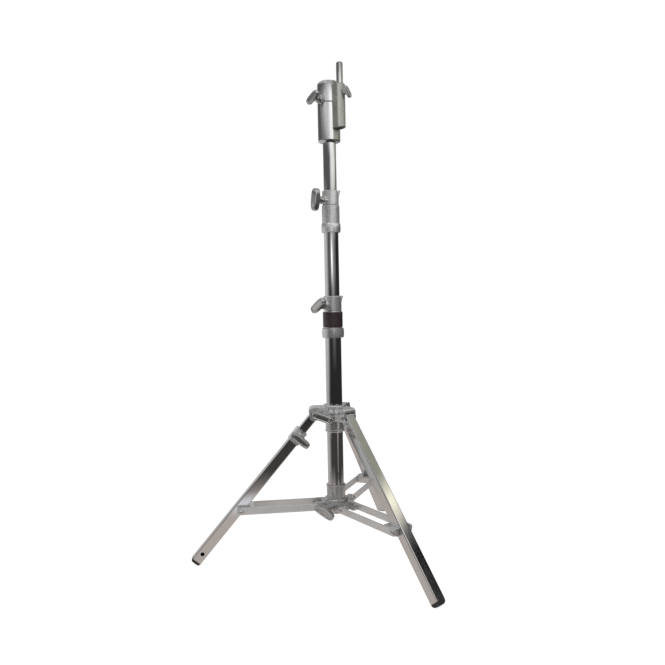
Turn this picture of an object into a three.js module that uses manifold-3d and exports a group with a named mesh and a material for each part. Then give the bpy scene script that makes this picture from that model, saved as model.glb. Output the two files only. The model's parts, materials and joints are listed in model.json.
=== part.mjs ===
// Combo stand: a chrome-plated steel double-riser stand on a folding square-tube tripod.
// Its head takes a junior (28.6 mm) spigot and carries a sliding baby (16 mm) pin.
// Millimetres, +Z up. The finished stand has its origin on the floor under the middle of its footprint.
import * as THREE from "three";
import { mergeVertices } from "three/addons/utils/BufferGeometryUtils.js";
import Module from "manifold-3d";

const wasm = await Module();
wasm.setup();

const degrees = THREE.MathUtils.degToRad;

// Column and risers
const COLUMN_D = 40;
const RISER_1_D = 36;
const RISER_2_D = 32;
const TUBE_WALL = 1.5;
const COLUMN_BOTTOM = 118;
const RISER_1_BELOW_RISER_2 = 124;
const RISER_1_SHOWN = 258;
const RISER_2_LENGTH = 663;
const RISER_2_SHOWN = 115;
const GUIDE_BELOW = 7.3;
const GUIDE_INSIDE = 11;
const GUIDE_WALL = 3;
const PLUG_LIP = 3;
const PLUG_INSIDE = 5;
const PLUG_OVERHANG = 0.75;
const SOCKET_FLOOR = 10;

// Fits between pieces
const GAP = 0.3;
const FIT = 0.4;
const OVERRUN = 1;

// Locking collars on the risers
const COLLAR_1_NECK_H = 36;
const COLLAR_1_BODY_H = 44;
const COLLAR_1_FLANGE_H = 22;
const COLLAR_1_SCREW_DROP = 24.4;
const COLLAR_1_NECK_D = 40.5;
const COLLAR_1_BODY_D = 43.5;
const COLLAR_1_FLANGE_D = 48;
const COLLAR_2_TOP = 661;
const COLLAR_2_NECK_H = 38;
const COLLAR_2_BODY_H = 41;
const COLLAR_2_FLANGE_H = 25;
const COLLAR_2_SCREW_DROP = 22.4;
const COLLAR_2_NECK_D = 45;
const COLLAR_2_BODY_D = 46;
const COLLAR_2_BAND_D = 49.5;
const COLLAR_2_FLANGE_D = 55.5;
const COLLAR_EDGE = 1.6;
const RIB_WIDTH = 7;
const RIB_REACH = 4;
const RIB_HEIGHT = 16;
const SLIT = 2;
const COLLAR_SIDE_RIB_TURN = 135;
const COLLAR_BACK_RIB_TURN = 180;

// Clamp screws and their T handles
const SCREW_D = 10;
const BOSS_D = 20;
const BOSS_REACH = 7;
const SHOE_D = 12;
const SHOE_THICK = 3;
const HANDLE_LENGTH = 54;
const HANDLE_DEPTH = 17;
const HANDLE_TAPER = 12;
const HANDLE_COLLAR = 3;
const HANDLE_THICK = 19;
const HANDLE_HUB_D = 18.5;
const HANDLE_EDGE = 3;
const HEAD_HANDLE_REACH = 57;
const COLLAR_1_HANDLE_REACH = 57;
const COLLAR_2_HANDLE_REACH = 54.5;
const CASTING_HANDLE_REACH = 83;
const PIN_HANDLE_REACH = 17.5;
const HEAD_HANDLE_SHARE = 0.8;
const PIN_HANDLE_SHARE = 0.55;

// Combo head
const HEAD_HEIGHT = 142;
const HEAD_D = 54.5;
const HEAD_SHOULDER = 9;
const HEAD_CONE_H = 5;
const SOCKET_D = 28.8;
const SOCKET_DEPTH = 92;
const SOCKET_LEAD = 2;
const HEAD_LINE_DROP = 53;
const HEAD_LINE_DEPTH = 1;
const HEAD_LINE_H = 1.6;
const HEAD_SCREW_DROP = 45;
const BLOCK_DROP = 13;
const BLOCK_HEIGHT = 104;
const BLOCK_WIDTH = 25;
const PIN_OFFSET = 38.5;
const PIN_D = 15.9;
const PIN_RISE = 38;
const PIN_LENGTH = 132;
const PIN_TIP = 2;
const PIN_SCREW_DROP = 37;

// Directions seen from above, in degrees from +X
const HEAD_SCREW_AZIMUTH = -145;
const BLOCK_AZIMUTH = -51;
const COLLAR_SCREW_AZIMUTH = -145;
const CASTING_SCREW_AZIMUTH = -120;
const LEVEL_LEG_AZIMUTH = 180;
const RIGHT_LEG_AZIMUTH = -60;
const REAR_LEG_AZIMUTH = 60;

// How far each handle is turned about its own screw
const HEAD_HANDLE_TURN = 62;
const PIN_HANDLE_TURN = 140;
const COLLAR_1_HANDLE_TURN = 8;
const COLLAR_2_HANDLE_TURN = 57;
const TOP_HANDLE_TURN = 105;
const LOWER_HANDLE_TURN = 118;

// Tripod
const PIVOT_R = 51.4;
const PIVOT_Z = 364;
const FOOT_R = 357.7;
const LEG_WIDTH = 25;
const LEG_WALL = 1.8;
const LEG_CORNER = 2.5;
const EYE_DEPTH = 18;
const INNER_LEG_WIDTH = 20.8;
const INNER_LEG_LENGTH = 330;
const OUTER_LEG_START = 58;
const FOOT_CAP_LENGTH = 9;
const FOOT_CAP_ROUND = 5;
const FOOT_PLUG_LENGTH = 16;
const BRACE_Z = 136;
const BRACE_PIVOT_R = 50;
const BRACE_HEIGHT = 16;
const BRACE_CORNER = 2.5;
const BRACE_INSET = 8;
const BRACE_THICK = 4;
const BRACE_FACE = 23.5;
const BRACKET_REACH = 40;
const BRACKET_OUTER = 2;
const BRACKET_HEIGHT = 17;

// Castings that carry the legs and braces
const CASTING_BORE_FIT = 0.5;
const TOP_HUB_D = 58;
const TOP_HUB_TOP = 389;
const TOP_HUB_BOTTOM = 350;
const TOP_SLEEVE_D = 49;
const TOP_SLEEVE_BOTTOM = 321;
const ARM_END_R = 64;
const ARM_TOP = 386;
const ARM_BOTTOM = 352;
const ARM_ROUND = 10;
const ARM_ROOT_R = 15;
const CHEEK = 4.6;
const LOWER_HUB_D = 60;
const LOWER_HUB_TOP = 152;
const LOWER_HUB_BOTTOM = 117;
const LOWER_NECK_D = 49;
const LOWER_NECK_TOP = 186;
const CASTING_EDGE = 2;
const RIM_H = 5;
const RIM_STEP = 1.2;

// Bolts and rivets
const LEG_BOLT_D = 8;
const BOLT_HEAD_D = 14;
const BOLT_HEAD_H = 5;
const RIVET_D = 7;
const RIVET_HEAD_D = 13;
const RIVET_HEAD_H = 3.6;
const PIN_NUT_H = 6.5;

// Levelling leg clamp
const CLAMP_START = 49;
const CLAMP_LENGTH = 36;
const CLAMP_WALL = 2.4;
const CLAMP_CORNER = 3.4;
const CLAMP_SCREW_AT = 66;
const CLAMP_SCREW_SIDE = 5;
const CLAMP_HANDLE_REACH = 50;
const STOP_HOLE_D = 10;
const STOP_HOLE_AT = 32;

// Facets on round pieces
const ROUND = 32;
const SMALL_ROUND = 16;
const HIDDEN_ROUND = 24;
const RIVET_ROUND = 12;
const RIVET_SHANK_ROUND = 8;
const HEX = 6;
const CORNER_STEPS = 3;
const END_STEPS = 6;
const SAME_POINT = 0.001;
const LEAN_PASSES = 9;

// Turns
const QUARTER = Math.PI / 2;
const HALF = Math.PI;
const THREE_QUARTERS = Math.PI + QUARTER;
const FULL = Math.PI * 2;

// Derived places
const legLean = Math.atan2(FOOT_R - PIVOT_R, PIVOT_Z - footEndHeight());
const legLength = (FOOT_R - PIVOT_R) / Math.sin(legLean);
const braceAt = (PIVOT_Z - BRACE_Z) / Math.cos(legLean);
const braceLegR = PIVOT_R + braceAt * Math.sin(legLean);
const bracePinR = braceLegR - BRACE_INSET;
const columnTop = COLLAR_2_TOP - COLLAR_2_NECK_H;
const collar1Top = COLLAR_2_TOP + RISER_1_SHOWN;
const riser1Top = collar1Top - COLLAR_1_NECK_H;
const headCone = collar1Top + RISER_2_SHOWN;
const headBottom = headCone + HEAD_CONE_H;
const headTop = headBottom + HEAD_HEIGHT;
const headLineZ = headTop - HEAD_LINE_DROP;
const headScrewZ = headTop - HEAD_SCREW_DROP;
const riser2Top = headTop - SOCKET_DEPTH - SOCKET_FLOOR;
const riser2Bottom = riser2Top - RISER_2_LENGTH;
const riser1Bottom = riser2Bottom - RISER_1_BELOW_RISER_2;
const blockTop = headTop - BLOCK_DROP;
const blockBottom = blockTop - BLOCK_HEIGHT;
const blockEnd = PIN_OFFSET + BLOCK_WIDTH / 2;
const pinTop = headTop + PIN_RISE;
const pinScrewZ = headTop - PIN_SCREW_DROP;
const legAzimuths = { level: LEVEL_LEG_AZIMUTH, right: RIGHT_LEG_AZIMUTH, rear: REAR_LEG_AZIMUTH };

// Height of a foot's end above the floor when its rounded inner edge touches the floor.
function footEndHeight() {
  const half = LEG_WIDTH / 2;
  let lean = Math.atan2(FOOT_R - PIVOT_R, PIVOT_Z);
  let height = 0;
  for (let pass = 0; pass < LEAN_PASSES; pass++) {
    height = FOOT_CAP_ROUND * (1 - Math.cos(lean)) + (half - FOOT_CAP_ROUND) * Math.sin(lean);
    lean = Math.atan2(FOOT_R - PIVOT_R, PIVOT_Z - height);
  }
  return height;
}

// Materials
function metal(colour, roughness, metalness) {
  return new THREE.MeshStandardMaterial({ color: colour, roughness, metalness });
}

const chrome = () => metal(0xc9cacc, 0.16, 1);
const satinCasting = () => metal(0xaaa9a6, 0.38, 1);
const zinc = () => metal(0xb4b4b0, 0.35, 1);
const brass = () => metal(0xb08d57, 0.4, 1);
const blackBand = () => metal(0x231b1e, 0.45, 0);
const rubber = () => metal(0x141412, 0.75, 0);
const nylon = () => metal(0x2a2a2c, 0.6, 0);

// Solids: join and cut closed geometries
function toSolid(geometry) {
  const bare = geometry.index ? geometry.toNonIndexed() : geometry.clone();
  bare.deleteAttribute("normal");
  bare.deleteAttribute("uv");
  const merged = mergeVertices(bare, SAME_POINT);
  return new wasm.Manifold(
    new wasm.Mesh({
      numProp: 3,
      vertProperties: merged.attributes.position.array,
      triVerts: new Uint32Array(merged.index.array),
    }),
  );
}

function toGeometry(solid) {
  const mesh = solid.getMesh();
  const geometry = new THREE.BufferGeometry();
  geometry.setAttribute("position", new THREE.BufferAttribute(mesh.vertProperties, mesh.numProp));
  geometry.setIndex(new THREE.BufferAttribute(mesh.triVerts, 1));
  geometry.computeVertexNormals();
  return geometry;
}

function join(first, ...others) {
  return others.reduce((sum, other) => sum.add(toSolid(other)), toSolid(first));
}

function cut(solid, ...tools) {
  return tools.reduce((rest, tool) => rest.subtract(toSolid(tool)), solid);
}

// Basic shapes
function turned(profile, facets = ROUND) {
  const points = profile.map(([r, z]) => new THREE.Vector2(r, z));
  return new THREE.LatheGeometry(points, facets).rotateX(QUARTER);
}

// A turned ring: its outline runs up the outside and down the bore.
function ring(outer, bore, bottom, top, edge = 0, facets = ROUND) {
  const out = outer / 2;
  const inn = bore / 2;
  const profile = [[inn, bottom]];
  if (edge > 0) {
    profile.push([out - edge, bottom], [out, bottom + edge], [out, top - edge], [out - edge, top]);
  } else {
    profile.push([out, bottom], [out, top]);
  }
  profile.push([inn, top], [inn, bottom]);
  return turned(profile, facets);
}

function disc(diameter, bottom, top, edge = 0, facets = ROUND) {
  const r = diameter / 2;
  const profile = [[0, bottom]];
  if (edge > 0) {
    profile.push([r - edge, bottom], [r, bottom + edge], [r, top - edge], [r - edge, top]);
  } else {
    profile.push([r, bottom], [r, top]);
  }
  profile.push([0, top]);
  return turned(profile, facets);
}

function box(x0, x1, y0, y1, z0, z1) {
  const geometry = new THREE.BoxGeometry(x1 - x0, y1 - y0, z1 - z0);
  return geometry.translate((x0 + x1) / 2, (y0 + y1) / 2, (z0 + z1) / 2);
}

// A rod along X from x0 to x1.
function rodX(diameter, x0, x1, facets = SMALL_ROUND) {
  return disc(diameter, x0, x1, 0, facets).rotateY(QUARTER);
}

// A rod along Y from y0 to y1.
function rodY(diameter, y0, y1, facets = SMALL_ROUND) {
  return disc(diameter, y0, y1, 0, facets).rotateX(-QUARTER);
}

function roundedRectangle(width, height, radius) {
  const w = width / 2;
  const h = height / 2;
  const shape = new THREE.Shape();
  shape.moveTo(w - radius, -h);
  shape.absarc(w - radius, -h + radius, radius, -QUARTER, 0);
  shape.absarc(w - radius, h - radius, radius, 0, QUARTER);
  shape.absarc(-w + radius, h - radius, radius, QUARTER, HALF);
  shape.absarc(-w + radius, -h + radius, radius, HALF, THREE_QUARTERS);
  return shape;
}

// A square bar along Z from z0 to z1.
function squareBar(width, z0, z1, corner) {
  const shape = roundedRectangle(width, width, corner);
  const options = { depth: z1 - z0, bevelEnabled: false, curveSegments: CORNER_STEPS };
  return new THREE.ExtrudeGeometry(shape, options).translate(0, 0, z0);
}

// The same outline as straight runs, without points that coincide.
function distinct(points) {
  return points.filter((p, i) => p.distanceTo(points[(i + 1) % points.length]) > SAME_POINT);
}

function polygon(shape, steps) {
  const clean = new THREE.Shape(distinct(shape.getPoints(steps)));
  clean.holes = shape.holes.map((hole) => new THREE.Path(distinct(hole.getPoints(steps))));
  return clean;
}

// A flat plate from a shape drawn in X and Z, from y0 to y1.
function plateXZ(drawn, y0, y1, bevel = 0, steps = CORNER_STEPS) {
  const shape = polygon(drawn, steps);
  const options = {
    depth: y1 - y0 - 2 * bevel,
    bevelEnabled: bevel > 0,
    bevelThickness: bevel,
    bevelSize: bevel,
    bevelOffset: -bevel,
    bevelSegments: 1,
  };
  const geometry = new THREE.ExtrudeGeometry(shape, options);
  return geometry.rotateX(QUARTER).translate(0, y1 - bevel, 0);
}

// Outline of a bar with round ends between two points of the XZ plane.
function capsule(x0, x1, radius) {
  const shape = new THREE.Shape();
  shape.absarc(x1, 0, radius, -QUARTER, QUARTER);
  shape.absarc(x0, 0, radius, QUARTER, THREE_QUARTERS);
  return shape;
}

// Scene graph
const stand = new THREE.Group();
const upright = new THREE.Group();
stand.add(upright);

function add(parent, name, shape, material) {
  const geometry = shape.isBufferGeometry ? shape : toGeometry(shape);
  const mesh = new THREE.Mesh(geometry, material);
  mesh.name = name;
  parent.add(mesh);
  return mesh;
}

function turnedGroup(parent, azimuth, height = 0) {
  const group = new THREE.Group();
  group.position.z = height;
  group.rotation.z = degrees(azimuth);
  parent.add(group);
  return group;
}

// T handle and screw: the screw lies along X, and the bar is at the outer end.
// tip is where the screw ends, face where the boss ends, reach the handle's outer side.
function handleSolid(tip, face, reach, share = 1) {
  const half = (HANDLE_LENGTH * share) / 2;
  const hub = (HANDLE_HUB_D * share) / 2;
  const round = (HANDLE_DEPTH * share) / 2;
  const barBack = reach - HANDLE_DEPTH * share;
  const start = face + FIT;
  const taperEnd = Math.max(start + HANDLE_COLLAR * share, barBack - HANDLE_TAPER * share);
  const shape = new THREE.Shape();
  shape.moveTo(start, -hub);
  shape.lineTo(taperEnd, -hub);
  shape.quadraticCurveTo(barBack, -hub, barBack, -half + round);
  shape.absarc(barBack + round, -half + round, round, -HALF, -QUARTER);
  shape.quadraticCurveTo(reach, -half, reach, -half + round);
  shape.lineTo(reach, half - round);
  shape.quadraticCurveTo(reach, half, reach - round, half);
  shape.absarc(barBack + round, half - round, round, QUARTER, HALF);
  shape.quadraticCurveTo(barBack, hub, taperEnd, hub);
  shape.lineTo(start, hub);
  const thick = (HANDLE_THICK * share) / 2;
  const wing = plateXZ(shape, -thick, thick, HANDLE_EDGE * share);
  const screw = rodX(SCREW_D * share, tip, taperEnd);
  return join(wing, screw);
}

function placeHandle(parent, name, azimuth, height, turn, solid) {
  const group = turnedGroup(parent, azimuth, height);
  const mesh = add(group, name, solid, satinCasting());
  mesh.rotation.x = -degrees(turn);
  return mesh;
}

// Brake shoe between a screw's tip and the tube it presses on.
function shoe(tubeRadius) {
  const blank = rodX(SHOE_D, tubeRadius - SHOE_THICK, tubeRadius + GAP + SHOE_THICK);
  const tube = disc(2 * (tubeRadius + GAP), -SHOE_D, SHOE_D);
  return cut(toSolid(blank), tube);
}

// Everything a clamp screw needs cut out of a casting.
function screwTools(tubeRadius, outerEnd, height, azimuth) {
  const hole = rodX(SCREW_D + 2 * GAP, tubeRadius, outerEnd);
  const pocket = rodX(SHOE_D + 2 * GAP, tubeRadius - SHOE_THICK, tubeRadius + 2 * GAP + SHOE_THICK);
  return [hole, pocket].map((tool) => tool.translate(0, 0, height).rotateZ(azimuth));
}

// Combo head: junior socket on top, block for the baby pin at the side
function headProfile() {
  const r = HEAD_D / 2;
  const neck = RISER_2_D / 2 + TUBE_WALL;
  const inner = r - HEAD_LINE_DEPTH;
  const profile = [[0, headCone], [neck, headCone], [inner, headBottom - HEAD_LINE_H], [r, headBottom]];
  profile.push([r, headLineZ - HEAD_LINE_H], [inner, headLineZ], [r, headLineZ + HEAD_LINE_H]);
  for (let step = 0; step <= CORNER_STEPS; step++) {
    const turn = (step / CORNER_STEPS) * QUARTER;
    const inset = HEAD_SHOULDER * (1 - Math.cos(turn));
    profile.push([r - inset, headTop - HEAD_SHOULDER * (1 - Math.sin(turn))]);
  }
  profile.push([0, headTop]);
  return profile;
}

function pinBlock() {
  const half = BLOCK_WIDTH / 2;
  const shape = new THREE.Shape();
  shape.absarc(PIN_OFFSET, 0, half, -QUARTER, QUARTER);
  shape.lineTo(0, half);
  shape.lineTo(0, -half);
  const options = {
    depth: blockTop - blockBottom - 2 * CASTING_EDGE,
    bevelThickness: CASTING_EDGE,
    bevelSize: CASTING_EDGE,
    bevelOffset: -CASTING_EDGE,
    bevelSegments: 1,
    curveSegments: END_STEPS,
  };
  return new THREE.ExtrudeGeometry(shape, options).translate(0, 0, blockBottom + CASTING_EDGE);
}

// The socket's bore with the chamfer that leads a spigot in.
function socketTool() {
  const r = SOCKET_D / 2;
  const floor = headTop - SOCKET_DEPTH;
  const above = headTop + SOCKET_LEAD;
  const chamfer = [[r, headTop - SOCKET_LEAD], [r + 2 * SOCKET_LEAD, above]];
  return turned([[0, floor], [r, floor], ...chamfer, [0, above]]);
}

function buildHead(parent) {
  const boss = HEAD_D / 2 + BOSS_REACH;
  const headScrew = SCREW_D * HEAD_HANDLE_SHARE;
  const pinScrew = SCREW_D * PIN_HANDLE_SHARE;
  const facing = (geometry, azimuth) => geometry.rotateZ(degrees(azimuth));
  const screwBoss = rodX(BOSS_D, 0, boss).translate(0, 0, headScrewZ);
  const screwHole = rodX(headScrew + 2 * GAP, 0, boss + OVERRUN).translate(0, 0, headScrewZ);
  const pinHole = disc(PIN_D + 2 * FIT, blockBottom - OVERRUN, blockTop + OVERRUN);
  const pinScrewHole = rodX(pinScrew + 2 * GAP, PIN_OFFSET, blockEnd + OVERRUN);
  const riserHole = disc(RISER_2_D + 2 * GAP, headCone - OVERRUN, riser2Top + GAP);
  const outside = join(
    turned(headProfile()),
    facing(screwBoss, HEAD_SCREW_AZIMUTH),
    facing(pinBlock(), BLOCK_AZIMUTH),
  );
  const head = cut(
    outside,
    socketTool(),
    riserHole,
    facing(screwHole, HEAD_SCREW_AZIMUTH),
    facing(pinHole.translate(PIN_OFFSET, 0, 0), BLOCK_AZIMUTH),
    facing(pinScrewHole.translate(0, 0, pinScrewZ), BLOCK_AZIMUTH),
  );
  add(parent, "combo_head", head, chrome());
  const handle = handleSolid(SOCKET_D / 2 + GAP, boss, HEAD_HANDLE_REACH, HEAD_HANDLE_SHARE);
  placeHandle(parent, "junior_lock_handle", HEAD_SCREW_AZIMUTH, headScrewZ, HEAD_HANDLE_TURN, handle);
}

function buildBabyPin(parent) {
  const tip = PIN_OFFSET + PIN_D / 2 + GAP;
  const handle = handleSolid(tip, blockEnd, blockEnd + PIN_HANDLE_REACH, PIN_HANDLE_SHARE);
  placeHandle(parent, "pin_lock_handle", BLOCK_AZIMUTH, pinScrewZ, PIN_HANDLE_TURN, handle);
  const pin = disc(PIN_D, pinTop - PIN_LENGTH, pinTop, PIN_TIP, HIDDEN_ROUND);
  add(turnedGroup(parent, BLOCK_AZIMUTH), "baby_pin", pin, chrome()).position.x = PIN_OFFSET;
}

// Riser tubes with the guide bushings at their lower ends
function buildRiser(parent, index, outer, bottom, top, boreAround) {
  const bore = outer - 2 * TUBE_WALL;
  add(parent, `riser_${index}_tube`, ring(outer, bore, bottom, top - GAP), chrome());
  const wide = boreAround / 2 - GAP;
  const narrow = bore / 2 - GAP;
  const inside = bore / 2 - GUIDE_WALL;
  const start = [inside, bottom - GUIDE_BELOW];
  const profile = [start, [wide, bottom - GUIDE_BELOW], [wide, bottom - GAP], [narrow, bottom - GAP]];
  profile.push([narrow, bottom + GUIDE_INSIDE], [inside, bottom + GUIDE_INSIDE], start);
  add(parent, `riser_${index}_guide`, turned(profile, HIDDEN_ROUND), nylon());
}

// Locking collar: neck with the clamp screw, body, and flange at the bottom
function collarProfile(top, neck, body, flange, neckH, bodyH, flangeH) {
  const e = COLLAR_EDGE;
  const shoulder = top - neckH;
  const flangeTop = shoulder - bodyH;
  const bottom = flangeTop - flangeH;
  const rim = flange / 2 - e / 2;
  const profile = [[0, bottom], [body / 2, bottom], [rim, bottom + e], [flange / 2, bottom + flangeH / 2]];
  profile.push([rim, flangeTop - e], [body / 2 + e / 2, flangeTop]);
  profile.push([body / 2, flangeTop], [body / 2, shoulder - e], [neck / 2, shoulder]);
  profile.push([neck / 2, top - e], [neck / 2 - e, top], [0, top]);
  return profile;
}

function rib(neckR, top) {
  const shape = new THREE.Shape();
  shape.moveTo(neckR / 2, top);
  shape.lineTo(neckR + RIB_REACH, top);
  shape.lineTo(neckR + RIB_REACH, top - COLLAR_EDGE);
  shape.lineTo(neckR, top - RIB_HEIGHT);
  shape.lineTo(neckR / 2, top - RIB_HEIGHT);
  return plateXZ(shape, -RIB_WIDTH / 2, RIB_WIDTH / 2);
}

function buildCollar(parent, index, spec) {
  const [top, riserD, tubeD, neck, body, flange, neckH, bodyH, flangeH, screwDrop, reach] = spec;
  const shoulder = top - neckH;
  const bottom = shoulder - bodyH - flangeH;
  const screwZ = top - screwDrop;
  const neckR = neck / 2;
  const boss = neckR + BOSS_REACH;
  const azimuth = degrees(COLLAR_SCREW_AZIMUTH);
  const bossRod = rodX(BOSS_D, 0, boss).translate(0, 0, screwZ).rotateZ(azimuth);
  const ribTurns = [COLLAR_SIDE_RIB_TURN, COLLAR_BACK_RIB_TURN];
  const ribs = ribTurns.map((turn) => rib(neckR, top).rotateZ(azimuth + degrees(turn)));
  const profile = collarProfile(top, neck, body, flange, neckH, bodyH, flangeH);
  const outside = join(turned(profile), bossRod, ...ribs);
  const tools = screwTools(riserD / 2, boss + OVERRUN, screwZ, azimuth);
  const saw = box(0, neckR + OVERRUN, -neckR, neckR, shoulder, shoulder + SLIT).rotateZ(azimuth);
  const bores = [
    disc(riserD + 2 * FIT, bottom - OVERRUN, top + OVERRUN),
    disc(tubeD + 2 * GAP, bottom - OVERRUN, shoulder),
  ];
  add(parent, `collar_${index}`, cut(outside, ...bores, ...tools, saw), satinCasting());
  const shoeGroup = turnedGroup(parent, COLLAR_SCREW_AZIMUTH, screwZ);
  add(shoeGroup, `collar_${index}_shoe`, shoe(riserD / 2), brass());
  const tip = riserD / 2 + 2 * GAP + SHOE_THICK;
  return { screwZ, handle: handleSolid(tip, boss, reach) };
}

function buildCollars(parent) {
  const one = buildCollar(parent, 1, [
    collar1Top, RISER_2_D, RISER_1_D, COLLAR_1_NECK_D, COLLAR_1_BODY_D, COLLAR_1_FLANGE_D,
    COLLAR_1_NECK_H, COLLAR_1_BODY_H, COLLAR_1_FLANGE_H, COLLAR_1_SCREW_DROP, COLLAR_1_HANDLE_REACH,
  ]);
  placeHandle(parent, "collar_1_handle", COLLAR_SCREW_AZIMUTH, one.screwZ, COLLAR_1_HANDLE_TURN, one.handle);
  const two = buildCollar(parent, 2, [
    COLLAR_2_TOP, RISER_1_D, COLUMN_D, COLLAR_2_NECK_D, COLLAR_2_BODY_D, COLLAR_2_FLANGE_D,
    COLLAR_2_NECK_H, COLLAR_2_BODY_H, COLLAR_2_FLANGE_H, COLLAR_2_SCREW_DROP, COLLAR_2_HANDLE_REACH,
  ]);
  placeHandle(parent, "collar_2_handle", COLLAR_SCREW_AZIMUTH, two.screwZ, COLLAR_2_HANDLE_TURN, two.handle);
  const bandTop = columnTop - COLLAR_EDGE;
  const bandBottom = columnTop - COLLAR_2_BODY_H + COLLAR_EDGE;
  const band = ring(COLLAR_2_BAND_D, COLLAR_2_BODY_D + 2 * GAP, bandBottom, bandTop, COLLAR_EDGE / 2);
  add(parent, "collar_2_band", band, blackBand());
}

function buildColumn(parent) {
  const bore = COLUMN_D - 2 * TUBE_WALL;
  add(parent, "column_tube", ring(COLUMN_D, bore, COLUMN_BOTTOM, columnTop - GAP), chrome());
  const low = COLUMN_BOTTOM - PLUG_LIP;
  const under = COLUMN_BOTTOM - GAP;
  const high = COLUMN_BOTTOM + PLUG_INSIDE;
  const inside = bore / 2 - GAP;
  const profile = [[0, low], [bore / 2, low], [bore / 2 + PLUG_OVERHANG, under], [inside, under]];
  profile.push([inside, high], [0, high]);
  add(parent, "column_plug", turned(profile, HIDDEN_ROUND), rubber());
}

// Castings: a hub on the column with three forked arms
function legWidth(leg) {
  return leg === "level" ? INNER_LEG_WIDTH : LEG_WIDTH;
}

function topArmShape() {
  const shape = new THREE.Shape();
  shape.moveTo(ARM_ROOT_R, ARM_BOTTOM);
  shape.lineTo(ARM_END_R - ARM_ROUND, ARM_BOTTOM);
  shape.quadraticCurveTo(ARM_END_R, ARM_BOTTOM, ARM_END_R, ARM_BOTTOM + ARM_ROUND);
  shape.lineTo(ARM_END_R, ARM_TOP - ARM_ROUND);
  shape.quadraticCurveTo(ARM_END_R, ARM_TOP, ARM_END_R - ARM_ROUND, ARM_TOP);
  shape.lineTo(ARM_ROOT_R, ARM_TOP);
  return shape;
}

function hubOutline(hubBottom, hubTop, hubD) {
  const e = CASTING_EDGE;
  const r = hubD / 2;
  return [[r - e, hubBottom], [r, hubBottom + e], [r, hubTop - e], [r - e, hubTop]];
}

// Hub with a rimmed sleeve below it.
function topHubProfile() {
  const rim = TOP_SLEEVE_D / 2;
  const rimTop = TOP_SLEEVE_BOTTOM + RIM_H;
  const profile = [[0, TOP_SLEEVE_BOTTOM], [rim - CASTING_EDGE, TOP_SLEEVE_BOTTOM]];
  profile.push([rim, TOP_SLEEVE_BOTTOM + CASTING_EDGE], [rim, rimTop], [rim - RIM_STEP, rimTop + RIM_STEP]);
  profile.push([rim - RIM_STEP, TOP_HUB_BOTTOM], ...hubOutline(TOP_HUB_BOTTOM, TOP_HUB_TOP, TOP_HUB_D));
  profile.push([0, TOP_HUB_TOP]);
  return profile;
}

// Hub with a rimmed neck above it.
function lowerHubProfile() {
  const rim = LOWER_NECK_D / 2;
  const rimBottom = LOWER_NECK_TOP - RIM_H;
  const profile = [[0, LOWER_HUB_BOTTOM], ...hubOutline(LOWER_HUB_BOTTOM, LOWER_HUB_TOP, LOWER_HUB_D)];
  profile.push([rim - RIM_STEP, LOWER_HUB_TOP], [rim - RIM_STEP, rimBottom - RIM_STEP], [rim, rimBottom]);
  profile.push([rim, LOWER_NECK_TOP - RIM_STEP], [rim - RIM_STEP, LOWER_NECK_TOP], [0, LOWER_NECK_TOP]);
  return profile;
}

// Adds the screw boss, bores the casting and hangs its shoe and handle.
function finishCasting(parent, name, outside, slots, place) {
  const { top, bottom, hubD, screwZ, turn } = place;
  const azimuth = degrees(CASTING_SCREW_AZIMUTH);
  const boss = hubD / 2 + BOSS_REACH;
  const bossRod = rodX(BOSS_D, 0, boss).translate(0, 0, screwZ).rotateZ(azimuth);
  const bore = disc(COLUMN_D + 2 * CASTING_BORE_FIT, bottom - OVERRUN, top + OVERRUN);
  const tools = screwTools(COLUMN_D / 2, boss + OVERRUN, screwZ, azimuth);
  const solid = cut(outside.add(toSolid(bossRod)), bore, ...tools, ...slots);
  add(parent, name, solid, satinCasting());
  const shoeGroup = turnedGroup(parent, CASTING_SCREW_AZIMUTH, screwZ);
  add(shoeGroup, `${name}_shoe`, shoe(COLUMN_D / 2), brass());
  const tip = COLUMN_D / 2 + 2 * GAP + SHOE_THICK;
  const handle = handleSolid(tip, boss, CASTING_HANDLE_REACH);
  placeHandle(parent, `${name}_handle`, CASTING_SCREW_AZIMUTH, screwZ, turn, handle);
}

function buildTopCasting(parent) {
  let outside = toSolid(turned(topHubProfile()));
  const slots = [];
  for (const [leg, azimuth] of Object.entries(legAzimuths)) {
    const slot = legWidth(leg) / 2 + FIT;
    const arm = plateXZ(topArmShape(), -slot - CHEEK, slot + CHEEK, RIM_STEP).rotateZ(degrees(azimuth));
    outside = outside.add(toSolid(arm));
    const clear = LEG_WIDTH / 2 + 2 * GAP;
    const through = slot + CHEEK + OVERRUN;
    const low = ARM_BOTTOM - OVERRUN;
    const channel = box(PIVOT_R - clear, ARM_END_R + OVERRUN, -slot, slot, low, PIVOT_Z + clear);
    const hole = rodY(LEG_BOLT_D + 2 * GAP, -through, through).translate(PIVOT_R, 0, PIVOT_Z);
    slots.push(channel.rotateZ(degrees(azimuth)), hole.rotateZ(degrees(azimuth)));
  }
  finishCasting(parent, "top_casting", outside, slots, {
    top: TOP_HUB_TOP,
    bottom: TOP_SLEEVE_BOTTOM,
    hubD: TOP_HUB_D,
    screwZ: (TOP_HUB_TOP + TOP_HUB_BOTTOM) / 2,
    turn: TOP_HANDLE_TURN,
  });
}

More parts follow.
